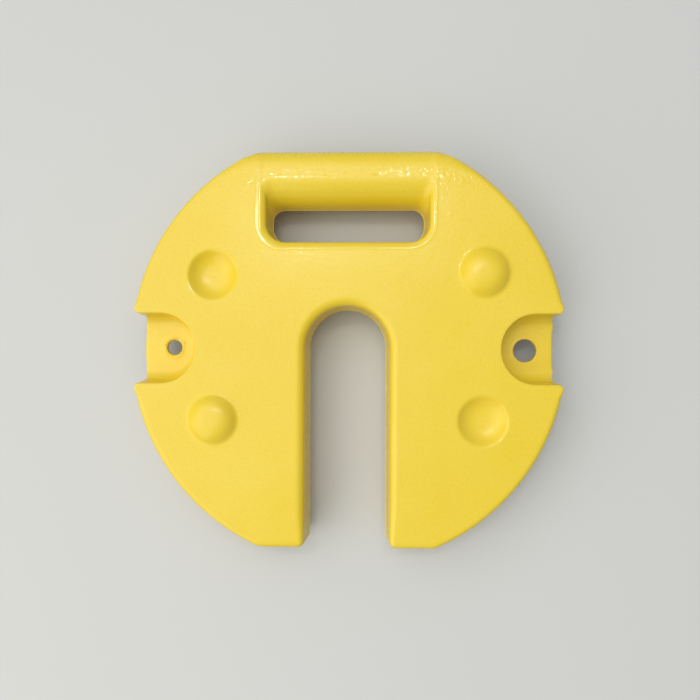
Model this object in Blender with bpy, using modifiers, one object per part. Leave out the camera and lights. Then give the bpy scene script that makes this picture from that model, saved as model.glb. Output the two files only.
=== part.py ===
"""Marquee weight plate: two moulded plastic half-shells closed round a cast concrete core.

The plate lies flat, with X across it, Y towards the handle and Z up. Its origin is on the
resting face, under the centre of the rim. Heights called "from the seam" are measured from the
middle plane, where the two half-shells meet, and the plate tapers from there to both faces.
"""
import math

import bmesh
import bpy
from mathutils import Vector

# Driving sizes of the casing, in metres and degrees
THICKNESS = 0.060
RIM_RADIUS = 0.1992
END_FLAT_DEPTH = 0.0168
END_FLAT_Y = RIM_RADIUS - END_FLAT_DEPTH
WALL = 0.003
DRAFT = math.radians(5.5)
EDGE_RADIUS = 0.005
HANDLE_EDGE_RADIUS = 0.016
HANDLE_BLEND_LENGTH = 0.028
HANDLE_CORNER_RADIUS = 0.025
FOOT_CORNER_RADIUS = 0.013
TOE_CORNER_RADIUS = 0.0085
SEAM_LIP = 0.0008
SEAM_LIP_HEIGHT = 0.0008

# Slot for the marquee leg
SLOT_HALF_WIDTH = 0.036
SLOT_ARCH_Y = 0.0005

# Lug pockets in the rim, with the thin webs and their holes
POCKET_HALF_WIDTH = 0.0288
POCKET_CENTRE_DEPTH = 0.0298
POCKET_CENTRE_X = RIM_RADIUS - POCKET_CENTRE_DEPTH
POCKET_CORNER_RADIUS = 0.007
POCKET_EDGE_RADIUS = 0.0015
POCKET_BLEND_LENGTH = 0.008
WEB_THICKNESS = 0.005
WEB_SET_BACK = 0.007
WEB_EDGE_RADIUS = RIM_RADIUS - WEB_SET_BACK
WEB_LAP = 0.0012
LEFT_HOLE_DEPTH = 0.0277
LEFT_HOLE_Y = 0.0005
LEFT_HOLE_RADIUS = 0.0072
RIGHT_HOLE_DEPTH = 0.0268
RIGHT_HOLE_Y = -0.0014
RIGHT_HOLE_RADIUS = 0.01075

# Hand-hole, with the handle bar beyond its far side
HAND_HOLE_HALF_LENGTH = 0.0715
HAND_HOLE_HEIGHT = 0.0324
BAR_FACE_WIDTH = 0.0274
BAR_LEAN = 0.0241
HAND_HOLE_FAR_FACE_Y = END_FLAT_Y - BAR_FACE_WIDTH
HAND_HOLE_FAR_Y = HAND_HOLE_FAR_FACE_Y - BAR_LEAN
HAND_HOLE_NEAR_Y = HAND_HOLE_FAR_Y - HAND_HOLE_HEIGHT
HAND_HOLE_NEAR_RADIUS = 0.015
HAND_HOLE_FAR_RADIUS = 0.012
HAND_HOLE_FAR_FACE_RADIUS = 0.007

# Stacking domes, dimples and sockets
DOME_X = 0.1215
DOME_FAR_Y = 0.0675
DOME_NEAR_Y = -0.0645
DOME_RADIUS = 0.0215
DOME_HEIGHT = 0.008
DIMPLE_CLEARANCE = 0.0008

# Joint between the half-shells
TONGUE_THICKNESS = 0.00135
TONGUE_HEIGHT = 0.003
TONGUE_ROOT = 0.002

# Filler port in the lower shell and the plug that closes it
PORT_X = -0.090
PORT_RADIUS = 0.015
PLUG_FLANGE_RADIUS = 0.020
PLUG_FLANGE_THICKNESS = 0.002
PLUG_SET_BACK = 0.0004
PLUG_WALL = 0.0025
PLUG_BEAD = 0.0008
PLUG_BEAD_HEIGHT = 0.0012
PLUG_DISH_RADIUS = 0.008
PLUG_DISH_DEPTH = 0.001
PORT_BOSS_WALL = 0.0042
PORT_BOSS_HEIGHT = 0.007
PORT_POCKET_CLEARANCE = 0.0015

# Clearance between touching pieces, and how far a cutter runs past what it cuts
FIT_GAP = 0.0003
CUT_MARGIN = 0.002

# Fineness of the round stretches
FILLET_STEPS = 3
RIM_STEPS = 5
POCKET_STEPS = 10
ARCH_STEPS = 6
EDGE_STEPS = 3
INNER_EDGE_STEPS = 1
BAR_STEPS = 3
TURN_STEPS = 24
CAP_STEPS = 3

HALF_THICKNESS = THICKNESS / 2
SEAM_Z = HALF_THICKNESS


def make_collection(name):
    """Add an empty collection to the scene."""
    collection = bpy.data.collections.new(name)
    bpy.context.scene.collection.children.link(collection)
    return collection


def make_material(name, colour, roughness):
    """Add a Principled material with one colour and roughness."""
    material = bpy.data.materials.new(name)
    material.use_nodes = True
    shader = material.node_tree.nodes["Principled BSDF"]
    shader.inputs["Base Color"].default_value = (*colour, 1.0)
    shader.inputs["Roughness"].default_value = roughness
    shader.inputs["Metallic"].default_value = 0.0
    material.diffuse_color = (*colour, 1.0)
    return material


def add_object(name, mesh, collection, material=None):
    """Put a mesh in a collection as a named object, which is a cutter if it has no material."""
    body = bpy.data.objects.new(name, mesh)
    collection.objects.link(body)
    if material:
        mesh.materials.append(material)
        mesh.shade_smooth()
        mesh.set_sharp_from_angle(angle=math.radians(35))
    else:
        body.hide_render = True
        body.display_type = "WIRE"
    return body


def combine(body, other, operation):
    """Cut another body out of this one, or join it on, with an exact Boolean."""
    step = body.modifiers.new(f"{operation.lower()}_{other.name}", "BOOLEAN")
    step.operation = operation
    step.solver = "EXACT"
    step.object = other


def loft(rings):
    """Close a stack of rings with the same count of points into one solid mesh."""
    shape = bmesh.new()
    layers = [[shape.verts.new(point) for point in ring] for ring in rings]
    count = len(layers[0])
    for lower, upper in zip(layers, layers[1:]):
        for index in range(count):
            following = (index + 1) % count
            shape.faces.new((lower[index], lower[following], upper[following], upper[index]))
    shape.faces.new(reversed(layers[0]))
    shape.faces.new(layers[-1])
    bmesh.ops.recalc_face_normals(shape, faces=shape.faces)
    mesh = bpy.data.meshes.new("loft")
    shape.to_mesh(mesh)
    shape.free()
    return mesh


def turned(name, profile, centre, collection, material=None):
    """Turn a profile of (radius, height) points, from top to bottom, round a vertical axis."""
    mesh = bpy.data.meshes.new(name)
    edges = [(index, index + 1) for index in range(len(profile) - 1)]
    mesh.from_pydata([(radius, 0.0, height) for radius, height in profile], edges, [])
    body = add_object(name, mesh, collection, material)
    body.location = (*centre, 0.0)
    screw = body.modifiers.new("turn", "SCREW")
    screw.axis = "Z"
    screw.steps = TURN_STEPS
    screw.render_steps = TURN_STEPS
    screw.use_merge_vertices = True
    screw.merge_threshold = 0.00001
    screw.use_smooth_shade = True
    return body


def arc(centre, radius, start, end, steps, hollow=False):
    """Points of an arc in plan, each with the direction that leads out of the plate."""
    points = []
    for step in range(steps + 1):
        angle = start + (end - start) * step / steps
        outward = Vector((math.cos(angle), math.sin(angle)))
        points.append((Vector(centre) + outward * radius, -outward if hollow else outward))
    return points


def corner_on_rim(radius, height):
    """Centre of a fillet that touches the rim from inside, and its direction from the origin."""
    centre = Vector((-math.sqrt((RIM_RADIUS - radius) ** 2 - height ** 2), height))
    return centre, math.atan2(centre.y, centre.x) % math.tau


def handle_blend(travel):
    """Edge radius at a distance along the rim from the handle's corner."""
    share = min(travel / HANDLE_BLEND_LENGTH, 1.0)
    share = share * share * (3 - 2 * share)
    return HANDLE_EDGE_RADIUS + (EDGE_RADIUS - HANDLE_EDGE_RADIUS) * share


def left_outline():
    """Left half of the outline at the seam, from the handle's middle to the top of the arch.

    Each entry is a point, its outward direction and the edge radius above it.
    """
    quarter = math.pi / 2
    handle_centre, handle_end = corner_on_rim(HANDLE_CORNER_RADIUS, END_FLAT_Y - HANDLE_CORNER_RADIUS)
    pocket_centre, pocket_end = corner_on_rim(
        POCKET_CORNER_RADIUS, POCKET_HALF_WIDTH + POCKET_CORNER_RADIUS
    )
    foot_centre, foot_end = corner_on_rim(FOOT_CORNER_RADIUS, FOOT_CORNER_RADIUS - END_FLAT_Y)
    lower_pocket_centre = Vector((pocket_centre.x, -pocket_centre.y))
    toe_centre = (-SLOT_HALF_WIDTH - TOE_CORNER_RADIUS, TOE_CORNER_RADIUS - END_FLAT_Y)
    blend_end = handle_end + HANDLE_BLEND_LENGTH / RIM_RADIUS
    pocket_blend = POCKET_BLEND_LENGTH / RIM_RADIUS

    points = [(Vector((0.0, END_FLAT_Y)), Vector((0.0, 1.0)), HANDLE_EDGE_RADIUS)]
    for point, outward in arc(handle_centre, HANDLE_CORNER_RADIUS, quarter, handle_end, 2):
        points.append((point, outward, HANDLE_EDGE_RADIUS))
    for point, outward in arc((0, 0), RIM_RADIUS, handle_end, blend_end, FILLET_STEPS)[1:]:
        travel = (math.atan2(point.y, point.x) % math.tau - handle_end) * RIM_RADIUS
        points.append((point, outward, handle_blend(travel)))

    rim = arc((0, 0), RIM_RADIUS, blend_end, pocket_end - pocket_blend, RIM_STEPS)[1:]
    points += [(point, outward, EDGE_RADIUS) for point, outward in rim]

    pocket = arc(pocket_centre, POCKET_CORNER_RADIUS, pocket_end, 3 * quarter, FILLET_STEPS)
    pocket += arc((-POCKET_CENTRE_X, 0), POCKET_HALF_WIDTH, quarter, -quarter, POCKET_STEPS, True)
    pocket += arc(lower_pocket_centre, POCKET_CORNER_RADIUS, quarter, math.tau - pocket_end, FILLET_STEPS)
    points += [(point, outward, POCKET_EDGE_RADIUS) for point, outward in pocket]

    plain = arc((0, 0), RIM_RADIUS, math.tau - pocket_end + pocket_blend, foot_end, RIM_STEPS)[:-1]
    plain += arc(foot_centre, FOOT_CORNER_RADIUS, foot_end, 3 * quarter, 2)
    plain += arc(toe_centre, TOE_CORNER_RADIUS, 3 * quarter, 4 * quarter, FILLET_STEPS)
    plain += arc((0, SLOT_ARCH_Y), SLOT_HALF_WIDTH, math.pi, quarter, ARCH_STEPS, True)
    return points + [(point, outward, EDGE_RADIUS) for point, outward in plain]


def plate_outline():
    """The whole outline at the seam, as the left half and its mirror image."""
    left = left_outline()
    right = [
        (Vector((-point.x, point.y)), Vector((-outward.x, outward.y)), edge)
        for point, outward, edge in reversed(left[1:-1])
    ]
    return left + right


def wall_inset(height, offset):
    """How far a drafted wall stands in from the seam outline at a height from the seam."""
    return abs(height) * math.tan(DRAFT) + offset / math.cos(DRAFT)


def edge_level(edge_radius, offset, lean):
    """Height from the seam and inset where a rounded edge leans over by an angle."""
    radius = max(edge_radius - offset, FIT_GAP)
    centre_height = HALF_THICKNESS - offset - radius
    start = centre_height + radius * math.sin(DRAFT)
    centre_inset = wall_inset(start, offset) + radius * math.cos(DRAFT)
    return centre_height + radius * math.sin(lean), centre_inset - radius * math.cos(lean)


def edge_leans(offset):
    """Angles at which a rounded edge has a ring, from the drafted wall to the flat face."""
    steps = INNER_EDGE_STEPS if offset else EDGE_STEPS
    return [DRAFT + (math.pi / 2 - DRAFT) * step / steps for step in range(steps + 1)]


def wall_ring(height, offset):
    """Ring of the outline on the drafted wall."""
    inset = wall_inset(height, offset)
    return [
        (*(point - outward * inset), SEAM_Z + height) for point, outward, _ in plate_outline()
    ]


def edge_ring(lean, side, offset):
    """Ring of the outline on the rounded edge of the upper (1) or lower (-1) face."""
    ring = []
    for point, outward, edge in plate_outline():
        height, inset = edge_level(edge, offset, lean)
        ring.append((*(point - outward * inset), SEAM_Z + side * height))
    return ring


def bar_outset(height, offset):
    """How far the handle bar's inner side, a quarter of an ellipse, leans back at a height."""
    share = min(abs(height) / (HALF_THICKNESS - offset), 1.0)
    return BAR_LEAN - (BAR_LEAN - offset) * math.sqrt(1.0 - share * share)


def hand_hole_ring(height, inset, offset):
    """Ring of the hand-hole, whose walls stand back by the inset at a height from the seam."""
    half_length = HAND_HOLE_HALF_LENGTH + inset
    near = HAND_HOLE_NEAR_Y - inset
    far = HAND_HOLE_FAR_Y + bar_outset(height, offset)
    near_radius = HAND_HOLE_NEAR_RADIUS + inset
    share = min(abs(height) / HALF_THICKNESS, 1.0)
    far_radius = HAND_HOLE_FAR_RADIUS + (HAND_HOLE_FAR_FACE_RADIUS - HAND_HOLE_FAR_RADIUS) * share
    far_radius += offset
    quarter = math.pi / 2
    near_centre = (half_length - near_radius, near + near_radius)
    far_centre = (half_length - far_radius, far - far_radius)
    outline = arc(near_centre, near_radius, -quarter, 0, FILLET_STEPS)
    outline += arc(far_centre, far_radius, 0, quarter, FILLET_STEPS)
    outline += arc((-far_centre[0], far_centre[1]), far_radius, quarter, math.pi, FILLET_STEPS)
    outline += arc((-near_centre[0], near_centre[1]), near_radius, math.pi, 3 * quarter, FILLET_STEPS)
    return [(point.x, point.y, SEAM_Z + height) for point, _ in outline]


def hand_hole_side(offset):
    """Heights and insets of the hand-hole from just above the seam to past one face."""
    start, _ = edge_level(EDGE_RADIUS, offset, DRAFT)
    levels = []
    for step in range(1, BAR_STEPS):
        height = start * step / BAR_STEPS
        levels.append((height, wall_inset(height, offset)))
    levels += [edge_level(EDGE_RADIUS, offset, lean) for lean in edge_leans(offset)]
    top, inset = levels[-1]
    return levels + [(top + CUT_MARGIN, inset)]


def hand_hole(name, offset, collection, lip=0.0):
    """Cutter for the hand-hole, right through the plate, with a lip left standing at the seam."""
    side = hand_hole_side(offset)
    rings = [hand_hole_ring(-height, inset, offset) for height, inset in reversed(side)]
    if lip:
        flank = wall_inset(SEAM_LIP_HEIGHT, offset)
        levels = [
            (-SEAM_LIP_HEIGHT, flank),
            (-SEAM_LIP_HEIGHT, -lip),
            (SEAM_LIP_HEIGHT, -lip),
            (SEAM_LIP_HEIGHT, flank),
        ]
        rings += [hand_hole_lip_ring(height, inset) for height, inset in levels]
    else:
        rings.append(hand_hole_ring(0.0, wall_inset(0.0, offset), offset))
    rings += [hand_hole_ring(height, inset, offset) for height, inset in side]
    return add_object(name, loft(rings), collection)


def hand_hole_lip_ring(height, inset):
    """Ring of the hand-hole at the seam lip, which also stands out from the handle bar."""
    ring = hand_hole_ring(height, inset, 0.0)
    if inset >= 0:
        return ring
    limit = HAND_HOLE_FAR_Y + inset
    return [(x, min(y, limit), z) for x, y, z in ring]


def slab(name, offset, low, high, collection):
    """Body of the plate between two heights on its drafted walls, standing in by an offset."""
    rings = [wall_ring(low, offset), wall_ring(high, offset)]
    if low < 0 < high:
        rings.insert(1, wall_ring(0.0, offset))
    body = add_object(name, loft(rings), collection)
    combine(body, hand_hole(f"{name}_hand_hole", offset, collection), "DIFFERENCE")
    return body


def filling(name, offset, parts, cutters, material=None):
    """Everything inside the casing, standing in from its outer surface by an offset."""
    leans = edge_leans(offset)
    rings = [edge_ring(lean, -1, offset) for lean in reversed(leans)]
    rings.append(wall_ring(0.0, offset))
    rings += [edge_ring(lean, 1, offset) for lean in leans]
    body = add_object(name, loft(rings), parts, material)
    combine(body, hand_hole(f"{name}_hand_hole", offset, cutters), "DIFFERENCE")
    for spot, centre in dome_spots().items():
        combine(body, dome(f"{name}_{spot}_dome", centre, offset, cutters), "UNION")
        socket = hollow(f"{name}_{spot}_socket", centre, offset, -1, cutters)
        combine(body, socket, "DIFFERENCE")
    for spot, centre in dimple_spots().items():
        dimple = hollow(f"{name}_{spot}_dimple", centre, offset, 1, cutters)
        combine(body, dimple, "DIFFERENCE")
    step_back = offset - WALL
    boss_radius = PLUG_FLANGE_RADIUS + FIT_GAP + PORT_BOSS_WALL + step_back
    boss_top = PORT_BOSS_HEIGHT + step_back
    profile = [(0.0, boss_top), (boss_radius, boss_top), (boss_radius, 0.0), (0.0, 0.0)]
    boss = turned(f"{name}_port_boss", profile, (PORT_X, 0.0), cutters)
    combine(body, boss, "DIFFERENCE")
    return body


def dome_spots():
    """Centres of the two domes."""
    return {"right": (DOME_X, DOME_FAR_Y), "left": (-DOME_X, DOME_NEAR_Y)}


def dimple_spots():
    """Centres of the two dimples."""
    return {"left": (-DOME_X, DOME_FAR_Y), "right": (DOME_X, DOME_NEAR_Y)}


def cap_sphere():
    """Radius of a dome's sphere, and how deep its centre lies under the face."""
    radius = (DOME_RADIUS ** 2 + DOME_HEIGHT ** 2) / (2 * DOME_HEIGHT)
    return radius, radius - DOME_HEIGHT


def cap_arc(radius, depth):
    """Points of a sphere's cap above a plane, from its crown down to the plane."""
    end = math.acos(depth / radius)
    angles = [end * step / CAP_STEPS for step in range(CAP_STEPS + 1)]
    return [(radius * math.sin(angle), radius * math.cos(angle) - depth) for angle in angles]


def dome(name, centre, offset, collection):
    """Dome that stands on the upper face, or the same dome standing in by an offset."""
    radius, depth = cap_sphere()
    foot = THICKNESS - offset - FIT_GAP
    cap = cap_arc(radius - offset, depth - offset - FIT_GAP)
    profile = [(reach, foot + height) for reach, height in cap]
    return turned(name, profile + [(0.0, foot)], centre, collection)


def hollow(name, centre, offset, side, collection):
    """Cutter for a dimple in the upper face (1) or a socket in the lower face (-1)."""
    radius, depth = cap_sphere()
    rim = offset + FIT_GAP
    cap = cap_arc(radius + DIMPLE_CLEARANCE + offset, depth + rim)
    face = SEAM_Z + side * (HALF_THICKNESS - offset + FIT_GAP)
    if side > 0:
        profile = [(0.0, face)] + [(reach, face - height) for reach, height in reversed(cap)]
    else:
        profile = [(reach, face + height) for reach, height in cap] + [(0.0, face)]
    return turned(name, profile, centre, collection)


def web(name, side, half, collection):
    """Half the thickness of one lug web: left (-1) or right (1), lower (-1) or upper (1)."""
    reach = POCKET_HALF_WIDTH + WEB_LAP
    spread = math.asin(reach / WEB_EDGE_RADIUS)
    outline = arc((0, 0), WEB_EDGE_RADIUS, math.pi - spread, math.pi + spread, FILLET_STEPS)
    outline += arc((-POCKET_CENTRE_X, 0), reach, -math.pi / 2, math.pi / 2, POCKET_STEPS)
    heights = sorted((SEAM_Z + half * FIT_GAP / 2, SEAM_Z + half * WEB_THICKNESS / 2))
    rings = [[(-side * point.x, point.y, height) for point, _ in outline] for height in heights]
    return add_object(name, loft(rings), collection)


def lug_hole(name, side, collection):
    """Cutter for the hole through one lug web."""
    if side < 0:
        radius = LEFT_HOLE_RADIUS
        place = (LEFT_HOLE_DEPTH - WEB_EDGE_RADIUS, LEFT_HOLE_Y)
    else:
        radius = RIGHT_HOLE_RADIUS
        place = (WEB_EDGE_RADIUS - RIGHT_HOLE_DEPTH, RIGHT_HOLE_Y)
    low = SEAM_Z - WEB_THICKNESS
    high = SEAM_Z + WEB_THICKNESS
    profile = [(0.0, high), (radius, high), (radius, low), (0.0, low)]
    return turned(name, profile, place, collection)


def half_shell(name, side, parts, cutters, material):
    """Solid outer form of one half of the casing, with its lip, webs and hand-hole."""
    lip_levels = [(FIT_GAP / 2, -SEAM_LIP), (SEAM_LIP_HEIGHT, -SEAM_LIP)]
    rings = []
    for height, inset in lip_levels:
        rings.append(
            [(*(point - outward * inset), SEAM_Z + side * height) for point, outward, _ in plate_outline()]
        )
    rings.append(wall_ring(side * SEAM_LIP_HEIGHT, 0.0))
    rings += [edge_ring(lean, side, 0.0) for lean in edge_leans(0.0)]
    body = add_object(name, loft(rings), parts, material)
    combine(body, hand_hole(f"{name}_hand_hole", 0.0, cutters, SEAM_LIP), "DIFFERENCE")
    for end in (-1, 1):
        combine(body, web(f"{name}_web_{end}", end, side, cutters), "UNION")
    return body


def finish_shell(body, cavity, cutters):
    """Hollow a half-shell out and drill its lug holes."""
    combine(body, cavity, "DIFFERENCE")
    for end in (-1, 1):
        combine(body, lug_hole(f"{body.name}_hole_{end}", end, cutters), "DIFFERENCE")


def build_upper_shell(cavity, parts, cutters, material):
    """Upper half of the casing, rebated for the tongue, with its domes and dimples."""
    body = half_shell("upper_shell", 1, parts, cutters, material)
    for spot, centre in dome_spots().items():
        combine(body, dome(f"{spot}_dome", centre, 0.0, cutters), "UNION")
    for spot, centre in dimple_spots().items():
        combine(body, hollow(f"{spot}_dimple", centre, 0.0, 1, cutters), "DIFFERENCE")
    depth = WALL - TONGUE_THICKNESS - FIT_GAP
    rebate = slab("rebate", depth, -TONGUE_ROOT, TONGUE_HEIGHT + FIT_GAP, cutters)
    combine(body, rebate, "DIFFERENCE")
    finish_shell(body, cavity, cutters)
    return body


def build_lower_shell(cavity, parts, cutters, material):
    """Lower half of the casing, with its tongue, its sockets and the filler port."""
    body = half_shell("lower_shell", -1, parts, cutters, material)
    tongue = slab("tongue", WALL - TONGUE_THICKNESS, -TONGUE_ROOT, TONGUE_HEIGHT, cutters)
    combine(body, tongue, "UNION")
    for spot, centre in dome_spots().items():
        combine(body, hollow(f"{spot}_socket", centre, 0.0, -1, cutters), "DIFFERENCE")
    finish_shell(body, cavity, cutters)
    flange = PLUG_FLANGE_RADIUS + FIT_GAP
    ledge = PLUG_SET_BACK + PLUG_FLANGE_THICKNESS + FIT_GAP
    top = PORT_BOSS_HEIGHT + CUT_MARGIN
    profile = [
        (0.0, top),
        (PORT_RADIUS, top),
        (PORT_RADIUS, ledge),
        (flange, ledge),
        (flange, -CUT_MARGIN),
        (0.0, -CUT_MARGIN),
    ]
    combine(body, turned("filler_port", profile, (PORT_X, 0.0), cutters), "DIFFERENCE")
    return body


def plug_profile():
    """Profile of the filler plug: a cup with a snap bead, over a flange with a shallow dish."""
    shank = PORT_RADIUS - FIT_GAP
    bore = shank - PLUG_WALL
    shoulder = PLUG_SET_BACK + PLUG_FLANGE_THICKNESS
    bead = PORT_BOSS_HEIGHT + FIT_GAP
    top = bead + PLUG_BEAD_HEIGHT
    return [
        (0.0, shoulder),
        (bore, shoulder),
        (bore, top),
        (shank, top),
        (PORT_RADIUS + PLUG_BEAD, bead + PLUG_BEAD_HEIGHT / 3),
        (PORT_RADIUS + PLUG_BEAD, bead),
        (shank, bead),
        (shank, shoulder),
        (PLUG_FLANGE_RADIUS, shoulder),
        (PLUG_FLANGE_RADIUS, PLUG_SET_BACK),
        (PLUG_DISH_RADIUS + PLUG_DISH_DEPTH, PLUG_SET_BACK),
        (PLUG_DISH_RADIUS, PLUG_SET_BACK + PLUG_DISH_DEPTH),
        (0.0, PLUG_SET_BACK + PLUG_DISH_DEPTH),
    ]


def build_concrete_core(parts, cutters, material):
    """Cast core that fills the casing, stopped short where the plug reaches in."""
    body = filling("concrete_core", WALL + FIT_GAP, parts, cutters, material)
    radius = PORT_RADIUS + PLUG_BEAD + PORT_POCKET_CLEARANCE
    top = PORT_BOSS_HEIGHT + FIT_GAP + PLUG_BEAD_HEIGHT + PORT_POCKET_CLEARANCE
    profile = [(0.0, top), (radius, top), (radius, 0.0), (0.0, 0.0)]
    combine(body, turned("plug_pocket", profile, (PORT_X, 0.0), cutters), "DIFFERENCE")
    return body


def main():
    """Build the plate in an empty scene."""
    for leftover in list(bpy.data.objects):
        bpy.data.objects.remove(leftover)
    parts = make_collection("marquee_weight_plate")
    cutters = make_collection("cutters")
    casing = make_material("yellow_polyethylene", (0.83, 0.58, 0.06), 0.35)
    concrete = make_material("cast_concrete", (0.36, 0.35, 0.33), 0.9)
    black = make_material("black_polyethylene", (0.02, 0.02, 0.02), 0.5)

    cavity = filling("cavity", WALL, cutters, cutters)
    build_upper_shell(cavity, parts, cutters, casing)
    build_lower_shell(cavity, parts, cutters, casing)
    build_concrete_core(parts, cutters, concrete)
    turned("filler_plug", plug_profile(), (PORT_X, 0.0), parts, black)


if __name__ == "__main__":
    main()
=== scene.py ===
"""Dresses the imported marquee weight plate: its moulded casing, its seam, its plug and its core.

Lengths are in metres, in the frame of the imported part: X across the plate, Y towards the handle
and Z up, with the origin on the resting face. A height called "from the seam" is measured from the
middle plane, towards the face of the half-shell that is being built.
"""
import logging
import math
from dataclasses import dataclass, field, replace
from enum import Enum

import bmesh
import bpy
import numpy as np
from mathutils import Matrix, Vector, geometry, noise


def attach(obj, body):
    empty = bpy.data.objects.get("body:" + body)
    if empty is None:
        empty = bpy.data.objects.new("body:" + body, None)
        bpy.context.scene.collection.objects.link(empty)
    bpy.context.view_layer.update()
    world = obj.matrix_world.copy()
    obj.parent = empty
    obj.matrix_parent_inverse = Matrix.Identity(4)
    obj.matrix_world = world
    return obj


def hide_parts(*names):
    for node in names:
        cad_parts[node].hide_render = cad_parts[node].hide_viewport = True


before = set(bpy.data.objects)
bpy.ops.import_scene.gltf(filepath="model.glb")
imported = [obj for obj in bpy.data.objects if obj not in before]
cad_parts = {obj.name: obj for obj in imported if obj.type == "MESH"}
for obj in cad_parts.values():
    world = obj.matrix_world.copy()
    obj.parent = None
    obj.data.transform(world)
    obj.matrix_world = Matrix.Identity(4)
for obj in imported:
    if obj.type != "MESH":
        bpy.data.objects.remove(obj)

logging.basicConfig(level=logging.INFO, format="%(message)s")
LOG = logging.getLogger("marquee_weight_plate")

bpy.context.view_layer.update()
BODY = "root"
WELD_DISTANCE = 0.00001
MILLIMETRE = 0.001
QUARTER = math.pi / 2
SHARP_ANGLE = math.radians(50)
SOFT_STEP = {"interpolation_type": "SMOOTHSTEP"}
ROUND_SHARE = 0.3  # How far a small rounded corner's middle is from each side, by its radius.

Pair = tuple[float, float]
Triple = tuple[float, float, float]


class Face(Enum):
    """Side of the seam on which a half-shell lies."""

    UPPER = 1
    LOWER = -1


class Side(Enum):
    """Side of the plate on which a web lies."""

    LEFT = -1
    RIGHT = 1


class Form(Enum):
    """Round form in a face: it stands out as a dome or goes in as a dimple."""

    DOME = 1
    DIMPLE = -1


def linear_colour(code: str) -> tuple[float, float, float, float]:
    """Turn an sRGB hex colour into linear values.

    Args:
        code: The colour as six hex digits after a hash.

    Returns:
        Red, green, blue and an alpha of 1.
    """
    values = [int(code[place:place + 2], 16) / 255 for place in (1, 3, 5)]
    linear = [v / 12.92 if v <= 0.04045 else ((v + 0.055) / 1.055) ** 2.4 for v in values]
    return (*linear, 1.0)


def add_node(tree: bpy.types.NodeTree, kind: str, settings: dict | None = None,
             inputs: dict | None = None) -> bpy.types.Node:
    """Add a node to a tree, with its settings and with a value or a link for each input.

    Args:
        tree: The shader or geometry tree.
        kind: The node's type name.
        settings: Attribute names and their values.
        inputs: Input names or places, each with a value or with what feeds it. That is a socket,
            or a node whose first output is meant.

    Returns:
        The new node.
    """
    node = tree.nodes.new(kind)
    for name, value in (settings or {}).items():
        setattr(node, name, value)
    for key, value in (inputs or {}).items():
        if isinstance(value, bpy.types.Node):
            value = value.outputs[0]
        if isinstance(value, bpy.types.NodeSocket):
            tree.links.new(value, node.inputs[key])
        else:
            node.inputs[key].default_value = value
    return node


def new_material(name: str) -> tuple[
        bpy.types.Material, bpy.types.NodeTree, bpy.types.NodeSocket]:
    """Start a node material.

    Args:
        name: The material's name.

    Returns:
        The material, its empty tree and the object coordinates.
    """
    material = bpy.data.materials.new(name)
    material.use_nodes = True
    tree = material.node_tree
    tree.nodes.clear()
    return material, tree, add_node(tree, "ShaderNodeTexCoord").outputs["Object"]


def shaded(material: bpy.types.Material, inputs: dict) -> bpy.types.Material:
    """Finish a node material with its shader.

    Args:
        material: The material.
        inputs: The shader's inputs, as for a node.

    Returns:
        The same material.
    """
    tree = material.node_tree
    shader = add_node(tree, "ShaderNodeBsdfPrincipled", inputs=inputs)
    add_node(tree, "ShaderNodeOutputMaterial", inputs={"Surface": shader})
    return material


def add_object(name: str, data: bpy.types.ID) -> bpy.types.Object:
    """Put a mesh, a lamp or a camera into the scene.

    Args:
        name: The object's name.
        data: The mesh, the lamp's or the camera's data.

    Returns:
        The object, at the origin.
    """
    body = bpy.data.objects.new(name, data)
    bpy.context.scene.collection.objects.link(body)
    return body


def add_moulding(name: str, shape: bmesh.types.BMesh,
                 finish: bpy.types.Material) -> bpy.types.Object:
    """Turn a closed shape into an object, smooth but for its sharp edges.

    Args:
        name: The object's name.
        shape: The shape, which is freed.
        finish: The material.

    Returns:
        The object, with its faces pointing out.
    """
    bmesh.ops.recalc_face_normals(shape, faces=shape.faces)
    mesh = bpy.data.meshes.new(name)
    shape.to_mesh(mesh)
    shape.free()
    mesh.materials.append(finish)
    mesh.shade_smooth()
    mesh.set_sharp_from_angle(angle=SHARP_ANGLE)
    return add_object(name, mesh)


def smooth_step(share: float) -> float:
    """Ease a share from 0 to 1, held inside those limits."""
    share = min(max(share, 0.0), 1.0)
    return share * share * (3 - 2 * share)


@dataclass(frozen=True)
class Mottle:
    """Noise that patterns a finish.

    Attributes:
        size: Length of its largest lumps.
        detail: How many times it is joined by lumps of half the size.
        roughness: How strong each of those is.
    """

    size: float
    detail: float
    roughness: float = 0.5


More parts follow.
